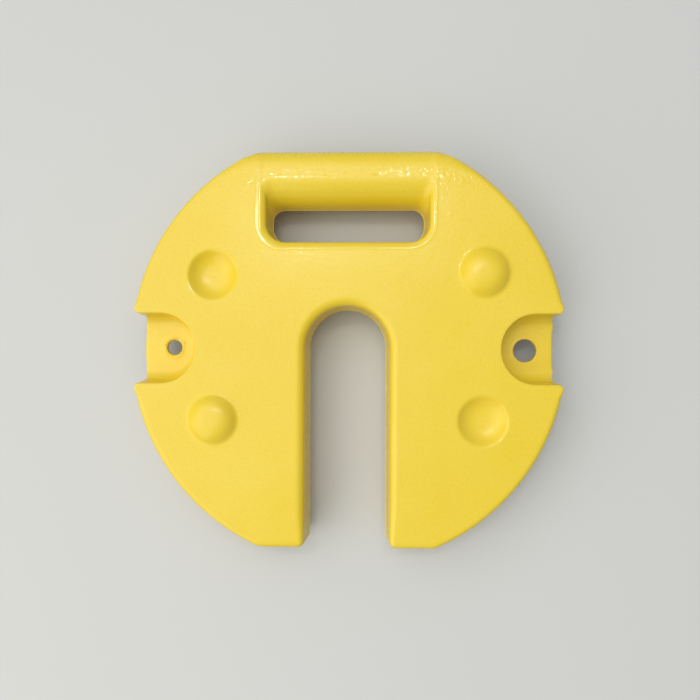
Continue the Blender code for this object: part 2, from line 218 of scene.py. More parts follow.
@dataclass(frozen=True)
class MouldedPolyethylene:
    """Glossy yellow polyethylene as it leaves the mould.

    The pigment is even and saturated. The two faces have an orange-peel ripple a few millimetres
    long and a satin skin with short glossy streaks. The edges next to them are smooth and shiny,
    and the walls and domes lie between the two.
    """

    name: str = "moulded_yellow_polyethylene"
    colour: str = "#EDCD29"
    refraction: float = 1.54
    # The gloss goes by the depth under the nearer face and by how level the skin lies.
    half_thickness: float = 0.030
    edge_roughness: float = 0.10
    wall_roughness: float = 0.27
    face_roughness: float = 0.31
    edge_depths: Pair = (0.0003, 0.0014)
    level_cosines: Pair = (0.99935, 0.99983)
    slope_cosines: Pair = (0.35, 0.80)
    bar_limits: Pair = (0.140, 0.150)
    # Handled plastic pales in clouds some centimetres wide.
    worn_colour: str = "#EED13C"
    cloud: Mottle = Mottle(0.070, 3.0, 0.55)
    cloud_limits: Pair = (0.35, 0.75)
    # The mould leaves streaks about 1 mm wide and 3 mm long, which lie at one angle.
    streak: Mottle = Mottle(0.0013, 1.0)
    streak_stretch: float = 2.6
    streak_turn: float = math.radians(50)
    streak_limits: Pair = (0.56, 0.64)
    bar_streaks: float = 0.06
    # The orange peel has ripples of 3 to 4 mm, and is strongest on the handle bar.
    peel: Mottle = Mottle(0.0036, 1.0, 0.4)
    peel_depth: float = 0.00028
    plain_peel: float = 0.42
    bar_peel: float = 0.50
    # A moulded skin's grain is some tenths of a millimetre, and is drawn coarser so that it shows.
    grain: Mottle = Mottle(0.0011, 2.0)
    grain_depth: float = 0.00008
    grain_strength: float = 0.10

    def make(self) -> bpy.types.Material:
        """Build the material.

        Returns:
            The material.
        """
        material, tree, place = new_material(self.name)
        axes = add_node(tree, "ShaderNodeSeparateXYZ", inputs={0: place}).outputs
        depth = add_node(tree, "ShaderNodeMath", {"operation": "PINGPONG"}, {
            0: axes["Z"], 1: self.half_thickness})
        normal = add_node(tree, "ShaderNodeTexCoord").outputs["Normal"]
        upward = add_node(tree, "ShaderNodeSeparateXYZ", inputs={0: normal}).outputs["Z"]
        level = add_node(tree, "ShaderNodeMath", {"operation": "ABSOLUTE"}, {0: upward})
        on_face, gloss, beyond_hole, on_slope = (
            add_node(tree, "ShaderNodeMapRange", SOFT_STEP, {
                "Value": value, "From Min": low, "From Max": high,
                "To Min": before, "To Max": after})
            for value, (low, high), (before, after) in (
                (level, self.level_cosines, (0.0, 1.0)),
                (depth, self.edge_depths, (self.edge_roughness, self.wall_roughness)),
                (axes["Y"], self.bar_limits, (0.0, 1.0)),
                (level, self.slope_cosines, (0.0, 1.0)),
            )
        )
        on_bar = add_node(tree, "ShaderNodeMath", {"operation": "MULTIPLY"}, {
            0: beyond_hole, 1: on_slope})
        turned = add_node(tree, "ShaderNodeMapping", {"vector_type": "TEXTURE"}, {
            "Vector": place, "Rotation": (0.0, 0.0, self.streak_turn),
            "Scale": (self.streak_stretch, 1.0, 1.0)})
        streaks, cloud, peel, grain = (
            add_node(tree, "ShaderNodeTexNoise", inputs={
                "Vector": where, "Scale": 1 / mottle.size, "Detail": mottle.detail,
                "Roughness": mottle.roughness})
            for where, mottle in (
                (turned, self.streak), (place, self.cloud), (place, self.peel),
                (place, self.grain),
            )
        )
        streaked = add_node(tree, "ShaderNodeMath", {"operation": "MULTIPLY_ADD"}, {
            0: on_bar, 1: self.bar_streaks, 2: streaks})
        satin = add_node(tree, "ShaderNodeMapRange", SOFT_STEP, {
            "Value": streaked, "From Min": self.streak_limits[0],
            "From Max": self.streak_limits[1], "To Min": self.face_roughness,
            "To Max": self.edge_roughness})
        rippled = add_node(tree, "ShaderNodeMath", {"operation": "MAXIMUM"}, {
            0: on_face, 1: on_bar})
        roughness = add_node(tree, "ShaderNodeMix", inputs={0: rippled, 2: gloss, 3: satin})
        pale = add_node(tree, "ShaderNodeMapRange", inputs={
            "Value": cloud, "From Min": self.cloud_limits[0], "From Max": self.cloud_limits[1]})
        colour = add_node(tree, "ShaderNodeMix", {"data_type": "RGBA"}, {
            "Factor": pale, 6: linear_colour(self.colour), 7: linear_colour(self.worn_colour)})
        plain = add_node(tree, "ShaderNodeMath", {"operation": "MULTIPLY"}, {
            0: on_face, 1: self.plain_peel})
        strength = add_node(tree, "ShaderNodeMath", {"operation": "MULTIPLY_ADD"}, {
            0: on_bar, 1: self.bar_peel, 2: plain})
        ripple = add_node(tree, "ShaderNodeBump", inputs={
            "Height": peel, "Strength": strength, "Distance": self.peel_depth})
        skin = add_node(tree, "ShaderNodeBump", inputs={
            "Height": grain, "Strength": self.grain_strength, "Distance": self.grain_depth,
            "Normal": ripple})
        return shaded(material, {
            "Base Color": colour.outputs[2], "Roughness": roughness, "Normal": skin,
            "IOR": self.refraction})


@dataclass(frozen=True)
class PlugPolyethylene:
    """Black polyethylene of the pressed-in bung: satin, with a fine moulded grain."""

    name: str = "moulded_black_polyethylene"
    colour: str = "#17181A"
    roughness: float = 0.42
    refraction: float = 1.52
    # The grain is some tenths of a millimetre, and is drawn coarser so that it shows.
    grain: Mottle = Mottle(0.0006, 3.0)
    grain_depth: float = 0.0001
    grain_strength: float = 0.25

    def make(self) -> bpy.types.Material:
        """Build the material.

        Returns:
            The material.
        """
        material, tree, place = new_material(self.name)
        grain = add_node(tree, "ShaderNodeTexNoise", inputs={
            "Vector": place, "Scale": 1 / self.grain.size, "Detail": self.grain.detail})
        skin = add_node(tree, "ShaderNodeBump", inputs={
            "Height": grain, "Strength": self.grain_strength, "Distance": self.grain_depth})
        return shaded(material, {
            "Base Color": linear_colour(self.colour), "Roughness": self.roughness,
            "IOR": self.refraction, "Normal": skin})


@dataclass(frozen=True)
class CastConcrete:
    """Grey cast concrete: dull, mottled by its sand and cement, with small air holes in painted
    shade.
    """

    name: str = "cast_concrete"
    colour: str = "#8E8A82"
    sand_colour: str = "#A39C8F"
    # The air holes' darker colour is painted shade inside them.
    hole_shade_colour: str = "#5E5B56"
    roughness: float = 0.92
    # Cement shows as clouds about 2 cm wide, and sand as grains about 1 mm wide.
    cement: Mottle = Mottle(0.018, 5.0)
    sand: Mottle = Mottle(0.0012, 2.0)
    sand_depth: float = 0.0003
    sand_strength: float = 0.4
    # Air holes are about 2 mm wide and 9 mm apart.
    hole_spacing: float = 0.009
    hole_limits: Pair = (0.08, 0.13)
    hole_depth: float = 0.0008
    hole_strength: float = 0.6

    def make(self) -> bpy.types.Material:
        """Build the material.

        Returns:
            The material.
        """
        material, tree, place = new_material(self.name)
        clouds, sand = (
            add_node(tree, "ShaderNodeTexNoise", inputs={
                "Vector": place, "Scale": 1 / mottle.size, "Detail": mottle.detail})
            for mottle in (self.cement, self.sand)
        )
        holes = add_node(tree, "ShaderNodeTexVoronoi", inputs={
            "Vector": place, "Scale": 1 / self.hole_spacing, "Randomness": 1.0})
        solid = add_node(tree, "ShaderNodeMapRange", inputs={
            "Value": holes.outputs["Distance"], "From Min": self.hole_limits[0],
            "From Max": self.hole_limits[1]})
        cement = add_node(tree, "ShaderNodeMix", {"data_type": "RGBA"}, {
            "Factor": clouds, 6: linear_colour(self.colour), 7: linear_colour(self.sand_colour)})
        # Painted shade: the air holes are darker than the cement round them.
        colour = add_node(tree, "ShaderNodeMix", {"data_type": "RGBA"}, {
            "Factor": solid, 6: linear_colour(self.hole_shade_colour), 7: cement.outputs[2]})
        pitted = add_node(tree, "ShaderNodeBump", inputs={
            "Height": solid, "Strength": self.hole_strength, "Distance": self.hole_depth})
        skin = add_node(tree, "ShaderNodeBump", inputs={
            "Height": sand, "Strength": self.sand_strength, "Distance": self.sand_depth,
            "Normal": pitted})
        return shaded(material, {
            "Base Color": colour.outputs[2], "Roughness": self.roughness, "Normal": skin})


@dataclass(frozen=True)
class LugHole:
    """Hole in a web, with the rough collar of plastic round it.

    Attributes:
        centre: Centre in plan.
        radius: Radius of the hole.
        collar_height: Height of the collar's crest over the web.
        collar_radius: Radius of that crest.
        collar_width: How far the crest falls off to each side.
        patch_radius: Radius of the patch of web round the hole that is meshed as rings.
    """

    centre: Pair
    radius: float
    collar_height: float
    collar_radius: float
    collar_width: float
    patch_radius: float


@dataclass(frozen=True)
class PlateSizes:
    """Sizes of the plate that its pieces share. The main ones are as in the part's own source."""

    thickness: float = 0.060
    rim_radius: float = 0.1992
    handle_flat_y: float = 0.1818
    foot_flat_y: float = 0.1824
    wall: float = 0.003
    draft: float = math.radians(5.5)
    edge_radius: float = 0.005
    handle_edge_radius: float = 0.016
    handle_blend_length: float = 0.024
    handle_width_length: float = 0.054
    handle_corner_radius: float = 0.025
    foot_corner_radius: float = 0.016
    toe_corner_radius: float = 0.0085
    seam_lip: float = 0.0005
    slot_half_width: float = 0.036
    slot_arch_y: float = 0.0005
    slot_edge_radius: float = 0.0075
    slot_blend_length: float = 0.030
    pocket_half_width: float = 0.0288
    pocket_centre_x: float = 0.1694
    pocket_corner_radius: float = 0.007
    pocket_edge_radius: float = 0.0015
    pocket_blend_length: float = 0.008
    pocket_floor_radius: float = 0.0095
    web_thickness: float = 0.005
    web_edge_radius: float = 0.1922
    right_web_cut: float = 0.0014
    web_round: float = 0.0014
    web_round_run: float = 0.004
    web_end_lean: float = 0.0022
    left_hole: LugHole = LugHole((-0.1645, 0.0005), 0.0072, 0.0004, 0.0092, 0.0013, 0.0130)
    right_hole: LugHole = LugHole((0.1654, -0.0014), 0.01075, 0.00012, 0.0122, 0.0007, 0.0142)
    hand_hole_half_length: float = 0.0715
    hand_hole_near_y: float = 0.0985
    hand_hole_far_y: float = 0.1309
    hand_hole_far_face_y: float = 0.155
    hand_hole_near_radius: float = 0.015
    hand_hole_far_radius: float = 0.012
    hand_hole_far_face_radius: float = 0.007
    hand_hole_left_edge: float = 0.0076
    hand_hole_right_edge: float = 0.0045
    hand_hole_near_edge: float = 0.0050
    hand_hole_far_edge: float = 0.0022
    hand_hole_ridge: float = 0.00010
    hand_hole_ridge_width: float = 0.0027
    crest_half_length: float = 0.0775
    crest_drop: float = 0.0004
    crest_blend: float = 0.0035
    dome_x: float = 0.1215
    far_dome: Pair = (0.1226, 0.0686)
    dome_near_y: float = -0.0645
    dimple_far_y: float = 0.0661
    dome_radius: float = 0.0215
    dome_height: float = 0.008
    dome_shoulder: float = 0.0200
    dome_fillet: float = 0.0045
    dome_curve: float = 2.35
    dimple_clearance: float = 0.0008
    port_x: float = -0.090
    port_ground_radius: float = 0.0212
    port_ground_blend: float = 0.006
    port_radius: float = 0.015
    plug_flange_radius: float = 0.020
    plug_flange_thickness: float = 0.002
    plug_set_back: float = 0.0004
    port_boss_wall: float = 0.0042
    port_boss_height: float = 0.007
    fit_gap: float = 0.0003

    @property
    def half(self) -> float:
        """Height of a face from the seam."""
        return self.thickness / 2

    @property
    def web_half(self) -> float:
        """Height of a web's surface from the seam."""
        return self.web_thickness / 2

    def wall_inset(self, height: float, offset: float = 0.0) -> float:
        """How far a drafted wall stands in from the seam outline at a height."""
        return height * math.tan(self.draft) + offset / math.cos(self.draft)

    def edge_level(self, edge: float, lean: float, offset: float = 0.0) -> Pair:
        """Height and inset where a rounded edge leans over by an angle.

        Args:
            edge: Radius of the edge on the outer surface.
            lean: Angle of the surface from upright.
            offset: How far the surface lies inside the outer one.

        Returns:
            The height from the seam and the inset.
        """
        radius = max(edge - offset, self.fit_gap)
        centre_height = self.half - offset - radius
        start = centre_height + radius * math.sin(self.draft)
        centre_inset = self.wall_inset(start, offset) + radius * math.cos(self.draft)
        return centre_height + radius * math.sin(lean), centre_inset - radius * math.cos(lean)


@dataclass
class Column:
    """One upright line of the casing's wall, as a point of the outline at the seam.

    Attributes:
        point: Place in plan at the seam.
        outward: Direction in plan that leads out of the plastic.
        edge: Height of the rounded edge above.
        width: Width of that edge in plan, or None where it is as wide as it is high.
        foot: Direction in which the wall's foot runs out on a web, or None where the wall
            starts at the seam.
        share: How much of its rounded edge a web's column has, from 0 to 1.
        on_web_edge: Whether the foot keeps to the web's outer edge.
    """

    point: Vector
    outward: Vector
    edge: float
    width: float | None = None
    foot: Vector | None = None
    share: float = 1.0
    on_web_edge: bool = False

    def mirrored(self) -> "Column":
        """Copy the column to the other side of the plate.

        Returns:
            The copy.
        """
        point, outward = (Vector((-v.x, v.y)) for v in (self.point, self.outward))
        foot = Vector((-self.foot.x, self.foot.y)) if self.foot else None
        return replace(self, point=point, outward=outward, foot=foot)

    def edge_level(self, sizes: PlateSizes, lean: float, offset: float = 0.0) -> Pair:
        """Height and inset on the column's rounded edge where it leans over by an angle.

        Args:
            sizes: The plate's sizes.
            lean: Angle of the surface from upright.
            offset: How far the surface lies inside the outer one.

        Returns:
            The height from the seam and the inset.
        """
        height, inset = sizes.edge_level(self.edge, lean, offset)
        if not self.width:
            return height, inset
        _, start = sizes.edge_level(self.edge, sizes.draft, offset)
        return height, start + (inset - start) * self.width / self.edge

    def at(self, inset: float, height: float) -> Triple:
        """Place on the column's wall at a height, with an inset from the seam outline."""
        place = self.point - self.outward * inset
        return place.x, place.y, height

    def foot_at(self, inset: float, height: float, reach: float, web_radius: float,
                lean: float = 0.0) -> Triple:
        """Place on the fillet between the wall and a web.

        Args:
            inset: How far the wall stands in at this height.
            height: The height from the seam.
            reach: How far the fillet runs out from the wall there.
            web_radius: Radius of the web's outer edge.
            lean: How far the fillet's end leans in from that edge.

        Returns:
            The place.
        """
        place = self.point - self.outward * inset + self.foot * reach
        if self.on_web_edge:
            across = math.sqrt(web_radius ** 2 - place.y ** 2) - lean
            place.x = math.copysign(across, place.x)
        return place.x, place.y, height


@dataclass
class Outline:
    """The plate's outline in plan at the seam, as columns in anticlockwise order.

    Attributes:
        sizes: The plate's sizes.
        step: Greatest distance between columns.
        line_step: The same on straight stretches.
        columns: The columns, which are worked out from the sizes.
    """

    sizes: PlateSizes
    step: float = 0.0026
    line_step: float = 0.006
    columns: list[Column] = field(default_factory=list)

    def __post_init__(self) -> None:
        """Work out the left half and mirror it."""
        left = self.left_half()
        self.columns = left + [column.mirrored() for column in reversed(left[1:-1])]

    def arc(self, centre: Pair, radius: float, start: float, end: float,
            hollow: bool = False) -> list[tuple[Vector, Vector]]:
        """Points of an arc with their outward directions.

        Args:
            centre: The arc's centre in plan.
            radius: Its radius.
            start: Angle at which it starts.
            end: Angle at which it ends.
            hollow: Whether the plastic lies outside the arc.

        Returns:
            Pairs of a point and a direction, ends included.
        """
        count = max(2, math.ceil(abs(end - start) * radius / self.step))
        pairs = []
        for index in range(count + 1):
            angle = start + (end - start) * index / count
            out = Vector((math.cos(angle), math.sin(angle)))
            pairs.append((Vector(centre) + out * radius, -out if hollow else out))
        return pairs

    def line(self, start: Vector, end: Vector, outward: Vector) -> list[tuple[Vector, Vector]]:
        """Points inside a straight stretch, without its ends."""
        count = max(1, math.ceil((end - start).length / self.line_step))
        return [(start.lerp(end, index / count), outward) for index in range(1, count)]

    def rim_corner(self, radius: float, height: float) -> tuple[Vector, float]:
        """Centre of a fillet that touches the rim from inside, and its direction."""
        across = math.sqrt((self.sizes.rim_radius - radius) ** 2 - height ** 2)
        return Vector((-across, height)), math.atan2(height, -across) % math.tau

    def left_half(self) -> list[Column]:
        """Lay out the left half.

        Returns:
            Columns from the handle's middle, round the left side, to the top of the arch.
        """
        s = self.sizes
        ahead, back = Vector((0.0, 1.0)), Vector((0.0, -1.0))
        handle, handle_end = self.rim_corner(
            s.handle_corner_radius, s.handle_flat_y - s.handle_corner_radius)
        radius = s.pocket_corner_radius
        jaw, jaw_end = self.rim_corner(radius, s.pocket_half_width + radius)
        lower_jaw = Vector((jaw.x, -jaw.y))
        reach = (s.web_edge_radius ** 2 - jaw.length ** 2 - radius ** 2) / (2 * radius * jaw.length)
        junction = jaw_end + math.acos(reach)
        foot, foot_end = self.rim_corner(s.foot_corner_radius, s.foot_corner_radius - s.foot_flat_y)
        toe = Vector((-s.slot_half_width - s.toe_corner_radius,
                      s.toe_corner_radius - s.foot_flat_y))

        top = [(Vector((0.0, s.handle_flat_y)), ahead)]
        top += self.line(top[0][0], Vector((handle.x, s.handle_flat_y)), ahead)
        columns = [Column(point, out, s.handle_edge_radius) for point, out in top]
        corner = self.arc(handle, s.handle_corner_radius, QUARTER, handle_end)
        rim = self.arc((0, 0), s.rim_radius, handle_end, jaw_end)[1:-1]
        travel = 0.0
        for point, out in corner + rim:
            travel += (point - columns[-1].point).length if columns[-1].width else 0.0
            extra = s.handle_edge_radius - s.edge_radius
            plain = self.rim_edge(point, jaw_end)
            edge = plain + extra * (1 - smooth_step(travel / s.handle_blend_length))
            width = plain + extra * (1 - smooth_step(travel / s.handle_width_length))
            columns.append(Column(point, out, edge, width))
        pocket_edge = s.pocket_edge_radius
        jaw_arc = self.arc(jaw, radius, jaw_end, junction)
        columns += [Column(point, out, pocket_edge) for point, out in jaw_arc]

        upper = self.arc(jaw, radius, junction, 3 * QUARTER)
        upper_wall = Vector((-s.pocket_centre_x, s.pocket_half_width))
        upper += self.line(upper[-1][0], upper_wall, back)
        pocket = [Column(point, out, pocket_edge, foot=back) for point, out in upper]
        bend = self.arc((-s.pocket_centre_x, 0), s.pocket_half_width, QUARTER, -QUARTER, True)
        pocket += [Column(point, out, pocket_edge, foot=out) for point, out in bend]
        lower_wall = Vector((lower_jaw.x, -s.pocket_half_width))
        lower = self.line(bend[-1][0], lower_wall, ahead)
        lower += self.arc(lower_jaw, radius, QUARTER, math.tau - junction)
        pocket += [Column(point, out, pocket_edge, foot=ahead) for point, out in lower]
        pocket[0].on_web_edge = pocket[-1].on_web_edge = True
        columns += pocket

        lower_arc = self.arc(lower_jaw, radius, math.tau - junction, math.tau - jaw_end)
        columns += [Column(point, out, pocket_edge) for point, out in lower_arc]
        for point, out in self.arc((0, 0), s.rim_radius, math.tau - jaw_end, foot_end)[1:-1]:
            columns.append(Column(point, out, self.rim_edge(point, math.tau - jaw_end)))
        rest = self.arc(foot, s.foot_corner_radius, foot_end, 3 * QUARTER)
        rest += self.line(rest[-1][0], Vector((toe.x, -s.foot_flat_y)), back)
        rest += self.arc(toe, s.toe_corner_radius, 3 * QUARTER, 4 * QUARTER)
        columns += [Column(point, out, s.edge_radius) for point, out in rest]
        wall_top = Vector((-s.slot_half_width, s.slot_arch_y))
        slot = self.line(rest[-1][0], wall_top, Vector((1.0, 0.0)))
        slot += self.arc((0, s.slot_arch_y), s.slot_half_width, math.pi, QUARTER, True)
        for point, out in slot:
            share = smooth_step((point.y - toe.y) / s.slot_blend_length)
            edge = s.edge_radius + (s.slot_edge_radius - s.edge_radius) * share
            columns.append(Column(point, out, edge))
        return columns

    def rim_edge(self, point: Vector, pocket_angle: float) -> float:
        """Edge radius at a point of the rim, which falls off next to the pocket.

        Args:
            point: The point in plan.
            pocket_angle: Angle at which the pocket's jaw meets the rim.

        Returns:
            The radius.
        """
        s = self.sizes
        travel = abs(math.atan2(point.y, point.x) % math.tau - pocket_angle) * s.rim_radius
        share = smooth_step(travel / s.pocket_blend_length)
        return s.pocket_edge_radius + (s.edge_radius - s.pocket_edge_radius) * share

    def web_edge(self, side: Side) -> list[Column]:
        """Columns of one web's outer edge, between the feet of the two walls.

        Args:
            side: The web's side of the plate.

        Returns:
            Columns in anticlockwise order, with no rounded edge at the ends.
        """
        s = self.sizes
        first = next(column for column in self.columns if column.on_web_edge)
        inset = s.wall_inset(s.web_half)
        x, y, _ = first.foot_at(inset, 0.0, s.pocket_floor_radius, s.web_edge_radius)
        start = math.atan2(y, x) % math.tau
        cut = s.right_web_cut if side is Side.RIGHT else 0.0
        columns = []
        for point, out in self.arc((0, 0), s.web_edge_radius, start, math.tau - start):
            point.x += cut * (1 - (point.y / y) ** 2)
            share = smooth_step((y - abs(point.y)) / s.web_round_run)
            columns.append(Column(point, out, s.web_round, share=share))
        if side is Side.LEFT:
            return columns
        return [column.mirrored() for column in reversed(columns)]

    def seam_loop(self) -> list[Column]:
        """Follow the casing's edge at the seam, along the webs and not round the pockets.

        Returns:
            Its columns in anticlockwise order.
        """
        loop = []
        skipping = False
        for column in self.columns:
            if column.foot and not skipping:
                loop += self.web_edge(Side.LEFT if column.point.x < 0 else Side.RIGHT)
            skipping = column.foot is not None
            if not skipping:
                loop.append(column)
        return loop


@dataclass
class HandHole:
    """The hand-hole, whose far side is the rounded handle bar and whose left end is softest.

    Attributes:
        sizes: The plate's sizes.
        offset: How far the surface lies inside the plastic.
        corner_steps: Steps in each rounded corner.
        line_step: Greatest distance between points on a straight side.
        ridge_steps: Rings over the low ridge outside the rounded edge.
        chamfer: How much the near side's rounded edge is like a chamfer, which is not at all at 1.
        end_share: Share of the half length over which the near side's edge turns into the end's.
    """

    sizes: PlateSizes
    offset: float = 0.0
    corner_steps: int = 12
    line_step: float = 0.004
    ridge_steps: int = 8
    chamfer: float = 1.5
    end_share: float = 0.3

    def rings(self, steps: int, edge_steps: int, start: float) -> list[list]:
        """Rings from the seam to the face.

        Args:
            steps: Steps on the drafted wall.
            edge_steps: Steps on the rounded edge.
            start: Height of the first ring.

        Returns:
            Rings with the same count of points, each with its own height.
        """
        s = self.sizes
        top, foot = s.edge_level(s.edge_radius, s.draft, self.offset)
        face, end = s.edge_level(s.edge_radius, QUARTER, self.offset)
        rings = []
        for step in range(steps):
            height = start + (top - start) * step / steps
            rings.append(self.plan(height, s.wall_inset(height, self.offset)))
        levels = [(QUARTER * step / edge_steps, 0.0, 0.0) for step in range(edge_steps + 1)]
        for step in range(0 if self.offset else self.ridge_steps):
            share = (step + 1) / self.ridge_steps
            lift = s.hand_hole_ridge * math.sin(math.pi * share) ** 2
            levels.append((QUARTER, s.hand_hole_ridge_width * share, lift))

        edges = [(self.edge(x, y), self.near_share(y)) for x, y, _ in self.plan(0.0, 0.0)]
        for turn, beyond, lift in levels:
            plans = {}
            for edge, _ in edges:
                if edge not in plans:
                    width, power = edge
                    height = top + (face - top) * math.sin(turn) ** power
                    spread = (end - foot) * width / s.edge_radius
                    inset = foot + beyond + spread * (1 - math.cos(turn) ** power)
                    plans[edge] = self.plan(height, inset)
            ring = []
            for index, (edge, share) in enumerate(edges):
                x, y, height = plans[edge][index]
                ring.append((x, y, height + lift * share))
            rings.append(ring)
        return rings

    def near_share(self, y: float) -> float:
        """How far a point of the seam ring lies from the handle bar.

        Args:
            y: The point's place along Y.

        Returns:
            A share from 0 to 1.
        """
        s = self.sizes
        middle = (s.hand_hole_near_y + s.hand_hole_far_y) / 2
        return 1 - smooth_step((y - middle) / (s.hand_hole_far_y - middle))

    def edge(self, x: float, y: float) -> Pair:
        """Form of the rounded edge over a point of the seam ring.

        Args:
            x: The point's place along X.
            y: Its place along Y.

        Returns:
            The edge's width and how like a chamfer it is.
        """
        s = self.sizes
        if self.offset:
            return s.edge_radius, 1.0
        length = s.hand_hole_half_length
        reach = smooth_step((abs(x) - (1 - self.end_share) * length) / (self.end_share * length))
        power = round(self.chamfer + (1 - self.chamfer) * reach, 1)
        end_edge = s.hand_hole_right_edge if x > 0 else s.hand_hole_left_edge
        width = s.hand_hole_near_edge + (end_edge - s.hand_hole_near_edge) * reach
        if x <= 0:
            width = s.hand_hole_far_edge + (width - s.hand_hole_far_edge) * self.near_share(y)
        # A width of whole tenths of a millimetre lets many points share one ring.
        return round(width, 4), power

    def bar(self, height: float) -> float:
        """How far the handle bar's inner side, a quarter of an ellipse, leans back at a height.

        Args:
            height: The height from the seam.

        Returns:
            The distance along Y.
        """
        s = self.sizes
        full = s.hand_hole_far_face_y - s.hand_hole_far_y
        share = min(height / (s.half - self.offset), 1.0)
        return full - (full - self.offset) * math.sqrt(1 - share * share)

    def plan(self, height: float, inset: float) -> list[Triple]:
        """Ring at one height, anticlockwise from the near side's right corner.

        Args:
            height: The height from the seam.
            inset: How far the plain walls stand back from the hole.

        Returns:
            The ring's places.
        """
        s = self.sizes
        share = min(height / s.half, 1.0)
        length = s.hand_hole_half_length + inset
        near = s.hand_hole_near_y - inset
        far = s.hand_hole_far_y + self.bar(height)
        near_radius = s.hand_hole_near_radius + inset
        far_radius = s.hand_hole_far_radius + self.offset
        far_radius += (s.hand_hole_far_face_radius - s.hand_hole_far_radius) * share
        corners = [
            (length - near_radius, near + near_radius, near_radius, -QUARTER),
            (length - far_radius, far - far_radius, far_radius, 0.0),
            (far_radius - length, far - far_radius, far_radius, QUARTER),
            (near_radius - length, near + near_radius, near_radius, 2 * QUARTER),
        ]
        points = []
        for x, y, radius, start in corners:
            for index in range(self.corner_steps + 1):
                angle = start + QUARTER * index / self.corner_steps
                points.append(Vector((x + radius * math.cos(angle), y + radius * math.sin(angle))))
        return [(point.x, point.y, height) for point in self.with_sides(points)]

    def with_sides(self, corners: list[Vector]) -> list[Vector]:
        """Add points on the four straight sides, always the same count at every height.

        Args:
            corners: Points of the four rounded corners, one after another.

        Returns:
            The whole ring.
        """
        s = self.sizes
        across = math.ceil(2 * s.hand_hole_half_length / self.line_step)
        along = math.ceil((s.hand_hole_far_y - s.hand_hole_near_y) / self.line_step)
        counts = [along, across, along, across]
        size = self.corner_steps + 1
        points = []
        for corner, count in enumerate(counts):
            own = corners[corner * size:(corner + 1) * size]
            following = corners[((corner + 1) % 4) * size]
            points += own
            points += [own[-1].lerp(following, index / count) for index in range(1, count)]
        return points


@dataclass(frozen=True)
class Relief:
    """How far the outside of a half-shell sinks under its true form, as moulded plastic does.

    Attributes:
        sizes: The plate's sizes.
        face: The side of the seam.
        wave: Depth of the moulding's unevenness at the face.
        middle: Share of that depth where the face is neither high nor low.
        waves: Length, place in the noise and weight of the broad and of the close waves.
    """

    sizes: PlateSizes
    face: Face
    wave: float = 0.00022
    middle: float = 0.5
    waves: tuple[Triple, ...] = ((0.045, 3.7, 0.70), (0.014, 9.1, 0.25))

    def lowered(self, x: float, y: float, height: float) -> float:
        """Lower a point of the outside.

        Args:
            x: The point's place along X.
            y: Its place along Y.
            height: Its height from the seam.

        Returns:
            The new height. The resting face has no point proud of it.
        """
        share = smooth_step(height / self.sizes.half) * self.off_port(x, y)
        height -= share * (self.wave * self.unevenness(x, y) + self.crest_drop(x, y))
        return min(height, self.sizes.half) if self.face is Face.LOWER else height

    def off_port(self, x: float, y: float) -> float:
        """Share of the relief at a place, which is none on the flat ground of the filler port.

        Args:
            x: The place along X.
            y: The place along Y.

        Returns:
            A share from 0 to 1.
        """
        if self.face is Face.UPPER:
            return 1.0
        reach = math.hypot(x - self.sizes.port_x, y) - self.sizes.port_ground_radius
        return smooth_step(reach / self.sizes.port_ground_blend)

    def crest_drop(self, x: float, y: float) -> float:
        """How far the handle bar's crest lies under the face on its two sides.

        Args:
            x: The place along X.
            y: The place along Y.

        Returns:
            The drop at that place.
        """
        s = self.sizes
        along = 1 - smooth_step((abs(x) - s.crest_half_length) / s.crest_blend + 0.5)
        across = (y - s.hand_hole_far_y) / (s.hand_hole_far_face_y - s.hand_hole_far_y)
        return s.crest_drop * along * smooth_step(across)

    def unevenness(self, x: float, y: float) -> float:
        """Share of the moulding's unevenness at a place.

        Args:
            x: The place along X.
            y: The place along Y.

        Returns:
            A share from 0 to 1.
        """
        share = self.middle
        for size, seed, weight in self.waves:
            share += weight * noise.noise(Vector((x / size, y / size, self.face.value * seed)))
        return min(max(share, 0.0), 1.0)


